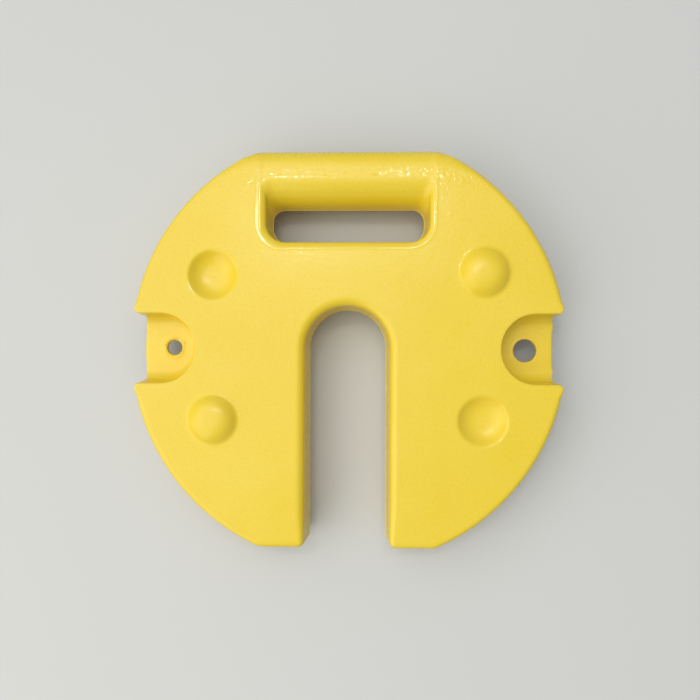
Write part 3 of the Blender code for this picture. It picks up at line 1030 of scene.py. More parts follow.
@dataclass
class Surface:
    """Collects triangles and quads of one half-shell before they are welded into a mesh.

    Attributes:
        points: Places, with heights from the seam.
        outer: Whether each point lies on the outside of the casing.
        faces: The numbers of each face's points.
        clearance: How far an extra point of a flat region keeps from its edges, by the spacing.
        precision: Distance in millimetres under which a flat region's points are one.
        least_run: Least square of an edge's length in millimetres that is reckoned with.
    """

    points: list[Triple] = field(default_factory=list)
    outer: list[bool] = field(default_factory=list)
    faces: list[tuple[int, ...]] = field(default_factory=list)
    clearance: float = 0.55
    precision: float = 1e-5
    least_run: float = 1e-9

    def add_points(self, points: list, outer: bool) -> list[int]:
        """Add points.

        Args:
            points: Their places.
            outer: Whether they lie on the outside of the casing.

        Returns:
            Their numbers.
        """
        start = len(self.points)
        self.points += [tuple(point) for point in points]
        self.outer += [outer] * len(points)
        return list(range(start, len(self.points)))

    def add_rings(self, rings: list[list], outer: bool) -> None:
        """Skin a stack of closed rings that have the same count of points.

        Args:
            rings: The rings, each a list of places.
            outer: Whether they lie on the outside of the casing.
        """
        numbers = [self.add_points(ring, outer) for ring in rings]
        count = len(numbers[0])
        for low, high in zip(numbers, numbers[1:]):
            for index in range(count):
                following = (index + 1) % count
                self.faces.append((low[index], low[following], high[following], high[index]))

    def add_flat(self, loops: list[list], height: float, outer: bool, spacing: float = 0.0) -> None:
        """Fill a flat region between loops with triangles.

        Args:
            loops: Closed loops in plan. A place is inside where an odd count goes round it.
            height: The region's height from the seam.
            outer: Whether it lies on the outside of the casing.
            spacing: Distance between extra points inside the region, or 0 for none.
        """
        plan = [np.array([point[:2] for point in loop]) / MILLIMETRE for loop in loops]
        extra = self.grid_points(plan, spacing / MILLIMETRE) if spacing else np.empty((0, 2))
        edges = []
        start = 0
        for loop in plan:
            count = len(loop)
            edges += [(start + index, start + (index + 1) % count) for index in range(count)]
            start += count
        places = [Vector(place) for place in np.vstack(plan + [extra])]
        result = geometry.delaunay_2d_cdt(places, edges, [], 0, self.precision, False)
        corners = np.array([tuple(place) for place in result[0]])
        triangles = np.array([tuple(face) for face in result[2]])
        inside = self.inside(plan, corners[triangles].mean(axis=1))
        points = [(x * MILLIMETRE, y * MILLIMETRE, height) for x, y in corners]
        numbers = self.add_points(points, outer)
        self.faces += [tuple(numbers[corner] for corner in face) for face in triangles[inside]]

    @staticmethod
    def inside(plan: list[np.ndarray], places: np.ndarray) -> np.ndarray:
        """Find the places that have an odd count of loops round them.

        Args:
            plan: The loops.
            places: The places.

        Returns:
            True or false for each place.
        """
        odd = np.zeros(len(places), dtype=bool)
        for loop in plan:
            following = np.roll(loop, -1, axis=0)
            for (x0, y0), (x1, y1) in zip(loop, following):
                if y0 == y1:
                    continue
                spans = (places[:, 1] > y0) != (places[:, 1] > y1)
                crossing = x0 + (places[:, 1] - y0) * (x1 - x0) / (y1 - y0)
                odd ^= spans & (places[:, 0] < crossing)
        return odd

    def grid_points(self, plan: list[np.ndarray], spacing: float) -> np.ndarray:
        """Lay a staggered grid over a flat region.

        Args:
            plan: The region's loops. The first goes round all others.
            spacing: Distance between the grid's points.

        Returns:
            The points that lie inside the region and clear of its edges.
        """
        low, high = plan[0].min(axis=0), plan[0].max(axis=0)
        rows = []
        for row, y in enumerate(np.arange(low[1], high[1], spacing * math.sqrt(3) / 2)):
            xs = np.arange(low[0] + (row % 2) * spacing / 2, high[0], spacing)
            rows.append(np.column_stack([xs, np.full_like(xs, y)]))
        places = np.vstack(rows)
        places = places[self.inside(plan, places)]
        clear = np.ones(len(places), dtype=bool)
        for loop in plan:
            following = np.roll(loop, -1, axis=0)
            for start, end in zip(loop, following):
                run = end - start
                share = ((places - start) @ run) / max(run @ run, self.least_run)
                share = np.clip(share, 0, 1)
                gap = np.linalg.norm(places - (start + share[:, None] * run), axis=1)
                clear &= gap > self.clearance * spacing
        return places[clear]

    def welded(self, name: str, sizes: PlateSizes, face: Face) -> bmesh.types.BMesh:
        """Stand the shell in its place, with the relief of its outside, and weld it.

        Args:
            name: The piece's name in the log.
            sizes: The plate's sizes.
            face: The side of the seam.

        Returns:
            The closed shape.
        """
        shape = bmesh.new()
        relief = Relief(sizes, face)
        verts = []
        for (x, y, height), outer in zip(self.points, self.outer):
            if outer:
                height = relief.lowered(x, y, height)
            verts.append(shape.verts.new((x, y, sizes.half + face.value * height)))
        for corners in self.faces:
            shape.faces.new([verts[corner] for corner in corners])
        bmesh.ops.remove_doubles(shape, verts=shape.verts, dist=WELD_DISTANCE)
        loose = [vert for vert in shape.verts if not vert.link_faces]
        bmesh.ops.delete(shape, geom=loose, context="VERTS")
        open_edges = sum(1 for edge in shape.edges if not edge.is_manifold)
        LOG.info("%s: %d faces, %d open edges", name, len(shape.faces), open_edges)
        return shape


@dataclass
class HalfShell:
    """One half of the casing, hollow, with its webs, its round forms and its hand-hole.

    Attributes:
        sizes: The plate's sizes.
        outline: The outline in plan.
        face: The side of the seam.
        finish: The material.
        seam_gap: How far the half-shell stops short of the seam.
        face_spacing: Distance between points inside the face and the webs.
        edge_steps: Steps over a rounded edge.
        fillet_steps: Steps over the fillet at a web.
        wall_steps: Steps on the straight part of the outer wall.
        hand_wall_steps: Steps on the hand-hole's wall.
        round_steps: Steps over the small rounding of a web's edge or a lug hole's.
        collar_steps: Steps across a lug hole's collar.
        turn_steps: Points in a whole turn.
        cap_steps: Steps from a round form's foot to its crown.
        inner_every: Every how many columns the inside has one.
        inner_edge_steps: Steps over a rounded edge on the inside.
        inner_wall_steps: Steps on the hand-hole's wall on the inside.
        inner_corner_steps: Steps in each of its corners there.
        inner_line_step: Greatest distance between points on its straight sides there.
        inner_cap_steps: Steps from a round form's foot to its crown on the inside.
        low_share: Height of the inside's second ring, as a share of its straight wall.
        crown_ring: Radius of a form's last ring, in steps between its rings.
        inner_crown_ring: The same on the inside.
        hole_round: Radius of the rounding of a lug hole's edge.
        rough_share: How much a collar's height varies.
        rough_size: Length of its lumps.
        nub_height: Depth of the moulding nub at the left dimple's crown.
        nub_radius: Its radius.
        port_soft: Radius of the filler port's rounded corners.
        lean_power: How late in its rise the end of a web's fillet leans back out.
    """

    sizes: PlateSizes
    outline: Outline
    face: Face
    finish: bpy.types.Material
    seam_gap: float = 0.00005
    face_spacing: float = 0.0024
    edge_steps: int = 8
    fillet_steps: int = 8
    wall_steps: int = 4
    hand_wall_steps: int = 9
    round_steps: int = 4
    collar_steps: int = 12
    turn_steps: int = 72
    cap_steps: int = 24
    inner_every: int = 3
    inner_edge_steps: int = 3
    inner_wall_steps: int = 5
    inner_corner_steps: int = 5
    inner_line_step: float = 0.02
    inner_cap_steps: int = 6
    low_share: float = 0.25
    crown_ring: float = 0.4
    inner_crown_ring: float = 0.3
    hole_round: float = 0.0008
    rough_share: float = 0.8
    rough_size: float = 0.0035
    nub_height: float = 0.0004
    nub_radius: float = 0.0011
    port_soft: float = 0.0005
    lean_power: int = 4

    def build(self, name: str) -> bpy.types.Object:
        """Build the half-shell as one object.

        Args:
            name: The object's name.

        Returns:
            The object, in its place and with its material.
        """
        self.surface = Surface()
        self.add_outer_walls()
        self.add_webs()
        self.add_inner_walls()
        self.add_faces()
        self.add_seam()
        return add_moulding(name, self.surface.welded(name, self.sizes, self.face), self.finish)

    def web_heights(self) -> list[float]:
        """Heights of the rings from the seam to the webs' surface.

        Returns:
            The heights from the seam.
        """
        s = self.sizes
        start = s.web_half - s.web_round
        leans = [QUARTER * index / self.round_steps for index in range(self.round_steps + 1)]
        return [self.seam_gap] + [start + s.web_round * math.sin(lean) for lean in leans]

    def low_ring(self, height: float) -> list[Triple]:
        """Ring of the casing's edge between the seam and the webs' surface.

        Args:
            height: The ring's height from the seam.

        Returns:
            Its places.
        """
        s = self.sizes
        rise = max(height - (s.web_half - s.web_round), 0.0) / s.web_round
        round_in = s.web_round * (1 - math.sqrt(max(1 - rise * rise, 0.0)))
        ring = []
        for column in self.outline.seam_loop():
            is_web = column.edge == s.web_round
            inset = round_in * column.share if is_web else s.wall_inset(height)
            ring.append(column.at(inset, height))
        return ring

    def wall_places(self, column: Column) -> list[Triple]:
        """Follow one column from the webs' surface to the face.

        Args:
            column: The column.

        Returns:
            Places on its fillet, its straight wall and its rounded edge.
        """
        s = self.sizes
        places = []
        for index in range(self.fillet_steps):
            turn = QUARTER * index / self.fillet_steps
            rise = 1 - math.cos(turn)
            height = s.web_half + s.pocket_floor_radius * rise
            inset = s.wall_inset(height)
            if column.foot:
                reach = s.pocket_floor_radius * (1 - math.sin(turn))
                lean = s.web_end_lean * rise * (1 - rise ** self.lean_power)
                places.append(column.foot_at(inset, height, reach, s.web_edge_radius, lean))
            else:
                places.append(column.at(inset, height))
        low = s.web_half + s.pocket_floor_radius
        high, _ = column.edge_level(s, s.draft)
        for index in range(self.wall_steps):
            height = low + (high - low) * index / self.wall_steps
            places.append(column.at(s.wall_inset(height), height))
        for index in range(self.edge_steps + 1):
            lean = s.draft + (QUARTER - s.draft) * index / self.edge_steps
            height, inset = column.edge_level(s, lean)
            places.append(column.at(inset, height))
        return places

    def add_outer_walls(self) -> None:
        """Add the casing's outer wall, its rounded edge and the hand-hole's wall."""
        self.surface.add_rings([self.low_ring(height) for height in self.web_heights()], True)
        walls = [self.wall_places(column) for column in self.outline.columns]
        rings = [list(ring) for ring in zip(*walls)]
        self.surface.add_rings(rings, True)
        self.foot_ring = rings[0]
        self.face_ring = rings[-1]
        hand_hole = HandHole(self.sizes)
        self.hand_rings = hand_hole.rings(self.hand_wall_steps, self.edge_steps, self.seam_gap)
        self.surface.add_rings(self.hand_rings, True)

    def circle(self, centre: Pair, radius: float, height: float,
               rough: float = 0.0) -> list[Triple]:
        """Ring of points round a centre.

        Args:
            centre: The centre in plan.
            radius: The ring's radius.
            height: Its height from the seam.
            rough: Mean height of lumps on it.

        Returns:
            Its places.
        """
        ring = []
        for index in range(self.turn_steps):
            angle = math.tau * index / self.turn_steps
            x = centre[0] + radius * math.cos(angle)
            y = centre[1] + radius * math.sin(angle)
            lift = 0.0
            if rough:
                lump = noise.noise(Vector((x, y, self.face.value)) / self.rough_size)
                lift = rough * (1 + self.rough_share * lump)
            ring.append((x, y, height + lift))
        return ring

    def add_webs(self) -> None:
        """Add both webs' surfaces, with their holes and the collars round them."""
        s = self.sizes
        top = self.low_ring(s.web_half)
        loop = self.outline.seam_loop()
        for side, hole in ((Side.LEFT, s.left_hole), (Side.RIGHT, s.right_hole)):
            edge = [
                place for place, column in zip(top, loop)
                if column.edge == s.web_round and side.value * column.point.x > 0
            ]
            foot = [
                place for place, column in zip(self.foot_ring, self.outline.columns)
                if column.foot and side.value * column.point.x > 0
            ]
            rings = self.hole_rings(hole)
            self.surface.add_rings(rings, True)
            boundary = edge + foot[-2:0:-1]
            self.surface.add_flat([boundary, rings[0]], s.web_half, True, self.face_spacing)

    def hole_rings(self, hole: LugHole) -> list[list]:
        """Rings from a web's surface, over the collar and down the hole to the seam.

        Args:
            hole: The hole.

        Returns:
            The rings from the outside in.
        """
        s = self.sizes
        lip = hole.radius + self.hole_round
        rings = []
        for index in range(self.collar_steps + 1):
            reach = hole.patch_radius + (lip - hole.patch_radius) * index / self.collar_steps
            spread = (reach - hole.collar_radius) / hole.collar_width
            rough = hole.collar_height * math.exp(-spread * spread) if index else 0.0
            rings.append(self.circle(hole.centre, reach, s.web_half, rough))
        for index in range(1, self.round_steps + 1):
            lean = QUARTER * index / self.round_steps
            reach = lip - self.hole_round * math.sin(lean)
            drop = self.hole_round * (1 - math.cos(lean))
            rings.append(self.circle(hole.centre, reach, s.web_half - drop))
        rings.append(self.circle(hole.centre, hole.radius, self.seam_gap))
        return rings

    def add_inner_walls(self) -> None:
        """Add the inside of both walls, which is coarser and has rounder corners."""
        s = self.sizes
        rounder = replace(s, toe_corner_radius=s.foot_corner_radius)
        columns = [column for column in Outline(rounder).columns if not column.on_web_edge]
        columns = columns[::self.inner_every]
        start, _ = s.edge_level(s.edge_radius, s.draft, s.wall)
        rings = [[c.at(s.wall_inset(height, s.wall), height) for c in columns]
                 for height in (self.seam_gap, start * self.low_share)]
        for step in range(self.inner_edge_steps + 1):
            lean = s.draft + (QUARTER - s.draft) * step / self.inner_edge_steps
            levels = [column.edge_level(s, lean, s.wall) for column in columns]
            rings.append([c.at(inset, height) for c, (height, inset) in zip(columns, levels)])
        self.surface.add_rings(rings, False)
        hand_hole = HandHole(s, s.wall, self.inner_corner_steps, self.inner_line_step)
        hand_rings = hand_hole.rings(self.inner_wall_steps, self.inner_edge_steps, self.seam_gap)
        self.surface.add_rings(hand_rings, False)
        self.inner_seam = [rings[0], hand_rings[0]]
        self.inner_face = [rings[-1], hand_rings[-1]]

    def add_seam(self) -> None:
        """Close the plastic at the seam, between its outer and its inner surfaces."""
        loops = [self.low_ring(self.seam_gap), self.hand_rings[0]] + self.inner_seam
        for hole in (self.sizes.left_hole, self.sizes.right_hole):
            loops.append(self.circle(hole.centre, hole.radius, self.seam_gap))
        self.surface.add_flat(loops, self.seam_gap, False)

    def forms(self) -> list[tuple[Pair, Form]]:
        """List the face's round forms.

        Returns:
            The centre in plan of each and what it is.
        """
        s = self.sizes
        domes = [s.far_dome, (-s.dome_x, s.dome_near_y)]
        dimples = [(-s.dome_x, s.dimple_far_y), (s.dome_x, s.dome_near_y)]
        if self.face is Face.LOWER:
            return [(centre, Form.DIMPLE) for centre in domes]
        return [(c, Form.DOME) for c in domes] + [(c, Form.DIMPLE) for c in dimples]

    def cap_rings(self, centre: Pair, form: Form, nub: bool) -> list[list]:
        """Rings of a round form from the flat face, over its fillet, to its crown.

        Args:
            centre: The form's centre in plan.
            form: Dome or dimple.
            nub: Whether a moulding nub stands at the crown.

        Returns:
            Rings from the outside in. The last is a small one round the crown.
        """
        s = self.sizes
        shoulder, fillet, power = s.dome_shoulder, s.dome_fillet, s.dome_curve + 1
        steepest = s.dome_height / (fillet / 2 + shoulder / power)
        rings = []
        for index in range(self.cap_steps):
            inward = index / (self.cap_steps - 1 + self.crown_ring)
            reach = (shoulder + fillet) * (1 - inward)
            if reach > shoulder:
                turn = math.pi * (reach - shoulder) / fillet
                rise = steepest * fillet / 2 * (1 - (turn + math.sin(turn)) / math.pi)
            else:
                rise = s.dome_height - steepest * shoulder / power * (reach / shoulder) ** power
            if nub:
                rise -= self.nub_height * math.exp(-((reach / self.nub_radius) ** 2))
            rings.append(self.circle(centre, reach, s.half + form.value * rise))
        return rings

    def inner_cap_rings(self, centre: Pair, form: Form) -> list[list]:
        """Rings of the same form on the inside of the casing, as a part of a sphere.

        Args:
            centre: The form's centre in plan.
            form: Dome or dimple.

        Returns:
            Rings from the outside in.
        """
        s = self.sizes
        radius = (s.dome_radius ** 2 + s.dome_height ** 2) / (2 * s.dome_height)
        depth = radius - s.dome_height + (-s.wall if form is Form.DOME else s.wall)
        radius += -s.wall if form is Form.DOME else s.wall + s.dimple_clearance
        meet = math.acos(depth / radius)
        rings = []
        for index in range(self.inner_cap_steps):
            turn = meet * (1 - index / (self.inner_cap_steps - 1 + self.inner_crown_ring))
            rise = radius * math.cos(turn) - depth
            height = s.half - s.wall + form.value * rise
            rings.append(self.circle(centre, radius * math.sin(turn), height))
        return rings

    def close_cap(self, ring: list, outer: bool) -> None:
        """Close the last small ring of a cap with a fan round its middle.

        Args:
            ring: The ring.
            outer: Whether it lies on the outside of the casing.
        """
        middle = tuple(np.mean(np.array(ring), axis=0))
        numbers = self.surface.add_points(ring, outer)
        centre = self.surface.add_points([middle], outer)[0]
        for index, number in enumerate(numbers):
            self.surface.faces.append((number, numbers[(index + 1) % len(numbers)], centre))

    def add_faces(self) -> None:
        """Add the flat face inside and out, with its round forms and the filler port."""
        s = self.sizes
        outer_loops = [self.face_ring, self.hand_rings[-1]]
        inner_loops = list(self.inner_face)
        for centre, form in self.forms():
            nub = self.face is Face.UPPER and form is Form.DIMPLE and centre[0] < 0
            for rings, loops, outer in (
                (self.cap_rings(centre, form, nub), outer_loops, True),
                (self.inner_cap_rings(centre, form), inner_loops, False),
            ):
                self.surface.add_rings(rings, outer)
                self.close_cap(rings[-1], outer)
                loops.append(rings[0])
        if self.face is Face.LOWER:
            rings = self.port_rings()
            self.surface.add_rings(rings, False)
            outer_loops.append(rings[0])
            inner_loops.append(rings[-1])
        self.surface.add_flat(outer_loops, s.half, True, self.face_spacing)
        self.surface.add_flat(inner_loops, s.half - s.wall, False)

    def port_rings(self) -> list[list]:
        """Rings of the filler port.

        Returns:
            Rings from the face, over the port's ledge and its boss, to the inside.
        """
        s = self.sizes
        soft = self.port_soft
        flange = s.plug_flange_radius + s.fit_gap
        ledge = s.plug_set_back + s.plug_flange_thickness + s.fit_gap
        boss = flange + s.port_boss_wall
        profile = [
            (flange + soft, 0.0),
            (flange + ROUND_SHARE * soft, ROUND_SHARE * soft),
            (flange, soft),
            (flange, ledge),
            (s.port_radius + soft, ledge),
            (s.port_radius, ledge + soft),
            (s.port_radius, s.port_boss_height - soft),
            (s.port_radius + soft, s.port_boss_height),
            (boss - soft, s.port_boss_height),
            (boss, s.port_boss_height - soft),
            (boss, s.wall),
        ]
        return [self.circle((s.port_x, 0.0), reach, s.half - depth) for reach, depth in profile]


def new_tree(name: str, result: str, given: dict[str, str]) -> tuple[
        bpy.types.GeometryNodeTree, bpy.types.bpy_prop_collection]:
    """Start a geometry tree with named inputs.

    Args:
        name: The tree's name.
        result: Name of the shape that it makes.
        given: Names of its inputs, each with the kind of its socket.

    Returns:
        The tree and the sockets of its inputs.
    """
    tree = bpy.data.node_groups.new(name, "GeometryNodeTree")
    for key, kind in given.items():
        tree.interface.new_socket(key, in_out="INPUT", socket_type=f"NodeSocket{kind}")
    tree.interface.new_socket(result, in_out="OUTPUT", socket_type="NodeSocketGeometry")
    return tree, add_node(tree, "NodeGroupInput").outputs


def end_tree(tree: bpy.types.GeometryNodeTree, shape: bpy.types.Node,
             finish: bpy.types.NodeSocket) -> bpy.types.GeometryNodeTree:
    """End a geometry tree: its shape is smoothed, made real and given its material.

    Args:
        tree: The tree.
        shape: The node that makes the shape.
        finish: The input with the material.

    Returns:
        The same tree.
    """
    smooth = add_node(tree, "GeometryNodeSetShadeSmooth", inputs={"Geometry": shape})
    real = add_node(tree, "GeometryNodeRealizeInstances", inputs={"Geometry": smooth})
    dressed = add_node(tree, "GeometryNodeSetMaterial", inputs={
        "Geometry": real, "Material": finish})
    add_node(tree, "NodeGroupOutput", inputs={0: dressed})
    return tree


def grown(name: str, guide: bpy.types.Mesh, tree: bpy.types.GeometryNodeTree,
          values: dict) -> bpy.types.Object:
    """Run a geometry tree on a guide mesh and keep the result as a plain mesh object.

    Args:
        name: The object's name.
        guide: The mesh that the tree starts from.
        tree: The geometry tree.
        values: Input names and their values.

    Returns:
        The object, with no modifier left on it.
    """
    body = add_object(name, guide)
    modifier = body.modifiers.new("grow", "NODES")
    modifier.node_group = tree
    for item in tree.interface.items_tree:
        if item.in_out == "INPUT" and item.name in values:
            modifier[item.identifier] = values[item.name]
    body.update_tag()
    evaluated = body.evaluated_get(bpy.context.evaluated_depsgraph_get())
    mesh = bpy.data.meshes.new_from_object(evaluated)
    mesh.name = name
    body.modifiers.clear()
    body.data = mesh
    LOG.info("%s: %d faces", name, len(mesh.polygons))
    return body


@dataclass
class SeamLip:
    """The thin welded lip that runs along the seam, round the rim and round the hand-hole.

    Geometry Nodes sweep a small flat oval along the seam, and a fixed noise makes it uneven.
    """

    sizes: PlateSizes
    outline: Outline
    finish: bpy.types.Material
    half_height: float = 0.00045
    unevenness: float = 0.22
    lump_length: float = 0.007
    spacing: float = 0.002
    oval_points: int = 10

    def tree(self) -> bpy.types.GeometryNodeTree:
        """Build the node tree that sweeps the lip.

        Returns:
            The tree.
        """
        tree, given = new_tree("seam_lip_sweep", "Lip", {
            "Seam": "Geometry", "Reach": "Float", "Half height": "Float",
            "Unevenness": "Float", "Lump scale": "Float", "Spacing": "Float",
            "Oval points": "Int", "Material": "Material"})
        path = add_node(tree, "GeometryNodeMeshToCurve", inputs={"Mesh": given["Seam"]})
        flat = add_node(tree, "GeometryNodeSetCurveNormal", {"mode": "Z_UP"}, {"Curve": path})
        even = add_node(tree, "GeometryNodeResampleCurve", {"mode": "LENGTH"}, {
            "Curve": flat, "Length": given["Spacing"]})
        ragged = add_node(tree, "ShaderNodeTexNoise", {"noise_dimensions": "3D"}, {
            "Scale": given["Lump scale"], "Detail": 3.0})
        spread = add_node(tree, "ShaderNodeMath", {"operation": "MULTIPLY_ADD"}, {
            0: ragged, 1: given["Unevenness"], 2: 1.0})
        size = add_node(tree, "ShaderNodeMath", {"operation": "SUBTRACT"}, {
            0: spread, 1: given["Unevenness"]})
        oval = add_node(tree, "GeometryNodeCurvePrimitiveCircle", inputs={
            "Resolution": given["Oval points"], "Radius": 1.0})
        scale = add_node(tree, "ShaderNodeCombineXYZ", inputs={
            "X": given["Reach"], "Y": given["Half height"], "Z": 1.0})
        shaped = add_node(tree, "GeometryNodeTransform", inputs={"Geometry": oval, "Scale": scale})
        swept = add_node(tree, "GeometryNodeCurveToMesh", inputs={
            "Curve": even, "Profile Curve": shaped, "Scale": size})
        return end_tree(tree, swept, given["Material"])

    def build(self, name: str) -> bpy.types.Object:
        """Build the lip as one plain mesh object.

        Args:
            name: The object's name.

        Returns:
            The object.
        """
        s = self.sizes
        rim = [column.at(0.0, s.half)[:2] for column in self.outline.seam_loop()]
        hole = [point[:2] for point in HandHole(s).plan(0.0, 0.0)]
        points, edges = [], []
        for loop in (rim, hole):
            start = len(points)
            count = len(loop)
            points += [(x, y, s.half) for x, y in loop]
            edges += [(start + index, start + (index + 1) % count) for index in range(count)]
        guide = bpy.data.meshes.new(name)
        guide.from_pydata(points, edges, [])
        return grown(name, guide, self.tree(), {
            "Reach": s.seam_lip, "Half height": self.half_height,
            "Unevenness": self.unevenness, "Lump scale": 1 / self.lump_length,
            "Spacing": self.spacing, "Oval points": self.oval_points, "Material": self.finish})


@dataclass
class CollarBurrs:
    """Small burrs of plastic on the collar round the left lug's hole.

    Geometry Nodes set a low bead at random places of a ring, each with its own size.
    """

    sizes: PlateSizes
    finish: bpy.types.Material
    spread: float = 0.0011
    bead_radius: float = 0.00075
    flatness: float = 0.45
    smallest: float = 0.45
    largest: float = 1.25
    count: int = 46
    seed: int = 7
    lift: float = 0.00045

    def tree(self) -> bpy.types.GeometryNodeTree:
        """Build the node tree that scatters the burrs.

        Returns:
            The tree.
        """
        tree, given = new_tree("collar_burr_ring", "Burrs", {
            "Guide": "Geometry", "Ring radius": "Float", "Spread": "Float",
            "Bead radius": "Float", "Flatness": "Float", "Smallest": "Float",
            "Largest": "Float", "Count": "Int", "Seed": "Int", "Centre": "Vector",
            "Material": "Material"})
        ring = add_node(tree, "GeometryNodeMeshCircle", inputs={
            "Vertices": given["Count"], "Radius": given["Ring radius"]})
        low, high = (
            add_node(tree, "ShaderNodeVectorMath", {"operation": "SCALE"}, {
                0: (side, side, 0.0), "Scale": given["Spread"]})
            for side in (-1.0, 1.0)
        )
        stray = add_node(tree, "FunctionNodeRandomValue", {"data_type": "FLOAT_VECTOR"}, {
            0: low, 1: high, "Seed": given["Seed"]})
        moved = add_node(tree, "GeometryNodeSetPosition", inputs={
            "Geometry": ring, "Offset": stray})
        placed = add_node(tree, "GeometryNodeTransform", inputs={
            "Geometry": moved, "Translation": given["Centre"]})
        bead = add_node(tree, "GeometryNodeMeshIcoSphere", inputs={
            "Radius": given["Bead radius"], "Subdivisions": 2})
        lowness = add_node(tree, "ShaderNodeCombineXYZ", inputs={
            "X": 1.0, "Y": 1.0, "Z": given["Flatness"]})
        flat = add_node(tree, "GeometryNodeTransform", inputs={
            "Geometry": bead, "Scale": lowness})
        size = add_node(tree, "FunctionNodeRandomValue", {"data_type": "FLOAT"}, {
            2: given["Smallest"], 3: given["Largest"], "Seed": given["Seed"]})
        burrs = add_node(tree, "GeometryNodeInstanceOnPoints", inputs={
            "Points": placed, "Instance": flat, "Scale": size.outputs[1]})
        return end_tree(tree, burrs, given["Material"])

    def build(self, name: str) -> bpy.types.Object:
        """Build the burrs as one plain mesh object.

        Args:
            name: The object's name.

        Returns:
            The object.
        """
        s = self.sizes
        return grown(name, bpy.data.meshes.new(name), self.tree(), {
            "Ring radius": s.left_hole.collar_radius, "Spread": self.spread,
            "Bead radius": self.bead_radius, "Flatness": self.flatness,
            "Smallest": self.smallest, "Largest": self.largest,
            "Count": self.count, "Seed": self.seed,
            "Centre": (*s.left_hole.centre, s.half + s.web_half + self.lift),
            "Material": self.finish})


@dataclass
class FillerPlug:
    """The bung in the filler port: a cup with a snap bead over a dished flange."""

    sizes: PlateSizes
    finish: bpy.types.Material
    wall: float = 0.0025
    bead: float = 0.0008
    bead_height: float = 0.0012
    dish_radius: float = 0.008
    dish_depth: float = 0.001
    soft: float = 0.0004
    turn_steps: int = 96

    def profile(self) -> list[Pair]:
        """Draw the plug's section, with small rounded corners.

        Returns:
            Radii and heights from the middle of the cup's floor, round the outside, to the dish.
        """
        s = self.sizes
        shank = s.port_radius - s.fit_gap
        bore = shank - self.wall
        back = s.plug_set_back
        shoulder = back + s.plug_flange_thickness
        bead = s.port_boss_height + s.fit_gap
        top = bead + self.bead_height
        rim = s.plug_flange_radius
        soft = self.soft
        dish = back + self.dish_depth
        return [
            (0.0, shoulder), (bore - soft, shoulder), (bore, shoulder + soft),
            (bore, top - soft / 2), (bore + soft / 2, top), (shank - soft, top),
            (shank, top - soft / 2), (s.port_radius + self.bead, bead + soft),
            (s.port_radius + self.bead, bead + soft / 3), (shank + soft / 2, bead),
            (shank, bead - soft), (shank, shoulder + soft), (shank + soft, shoulder),
            (rim - soft, shoulder), (rim, shoulder - soft), (rim, back + 2 * soft),
            (rim - ROUND_SHARE * soft, back + 0.8 * soft), (rim - soft, back + 0.2 * soft),
            (rim - 2 * soft, back), (self.dish_radius + 3 * soft, back),
            (self.dish_radius + soft, back + soft), (self.dish_radius - soft, dish - soft / 3),
            (self.dish_radius - 3 * soft, dish), (0.0, dish),
        ]

    def build(self, name: str) -> bpy.types.Object:
        """Turn the section round the port's axis.

        Args:
            name: The object's name.

        Returns:
            The plug as one object.
        """
        shape = bmesh.new()
        profile = self.profile()
        angles = [math.tau * index / self.turn_steps for index in range(self.turn_steps)]
        rings = [
            [shape.verts.new((self.sizes.port_x + radius * math.cos(angle),
                              radius * math.sin(angle), height)) for angle in angles]
            for radius, height in profile[1:-1]
        ]
        following = [(index + 1) % self.turn_steps for index in range(self.turn_steps)]
        for low, high in zip(rings, rings[1:]):
            for index, after in enumerate(following):
                shape.faces.new((low[index], low[after], high[after], high[index]))
        for ring, (_, height) in ((rings[0], profile[0]), (rings[-1], profile[-1])):
            middle = shape.verts.new((self.sizes.port_x, 0.0, height))
            for index, after in enumerate(following):
                shape.faces.new((ring[index], ring[after], middle))
        return add_moulding(name, shape, self.finish)


@dataclass(frozen=True)
class Lamp:
    """Square soft lamp that points at the plate.

    Attributes:
        name: The lamp's name.
        place: Where it stands.
        side: Length of its sides.
        power: Its power in watts.
        colour: Its colour as sRGB hex.
    """

    name: str
    place: Triple
    side: float
    power: float
    colour: str = "#FFFFFF"

    def build(self) -> None:
        """Add the lamp."""
        data = bpy.data.lights.new(self.name, "AREA")
        data.shape = "RECTANGLE"
        data.size = data.size_y = self.side
        data.energy = self.power
        data.color = linear_colour(self.colour)[:3]
        lamp = add_object(self.name, data)
        lamp.location = self.place
        lamp.rotation_euler = (-Vector(self.place)).to_track_quat("-Z", "Y").to_euler()


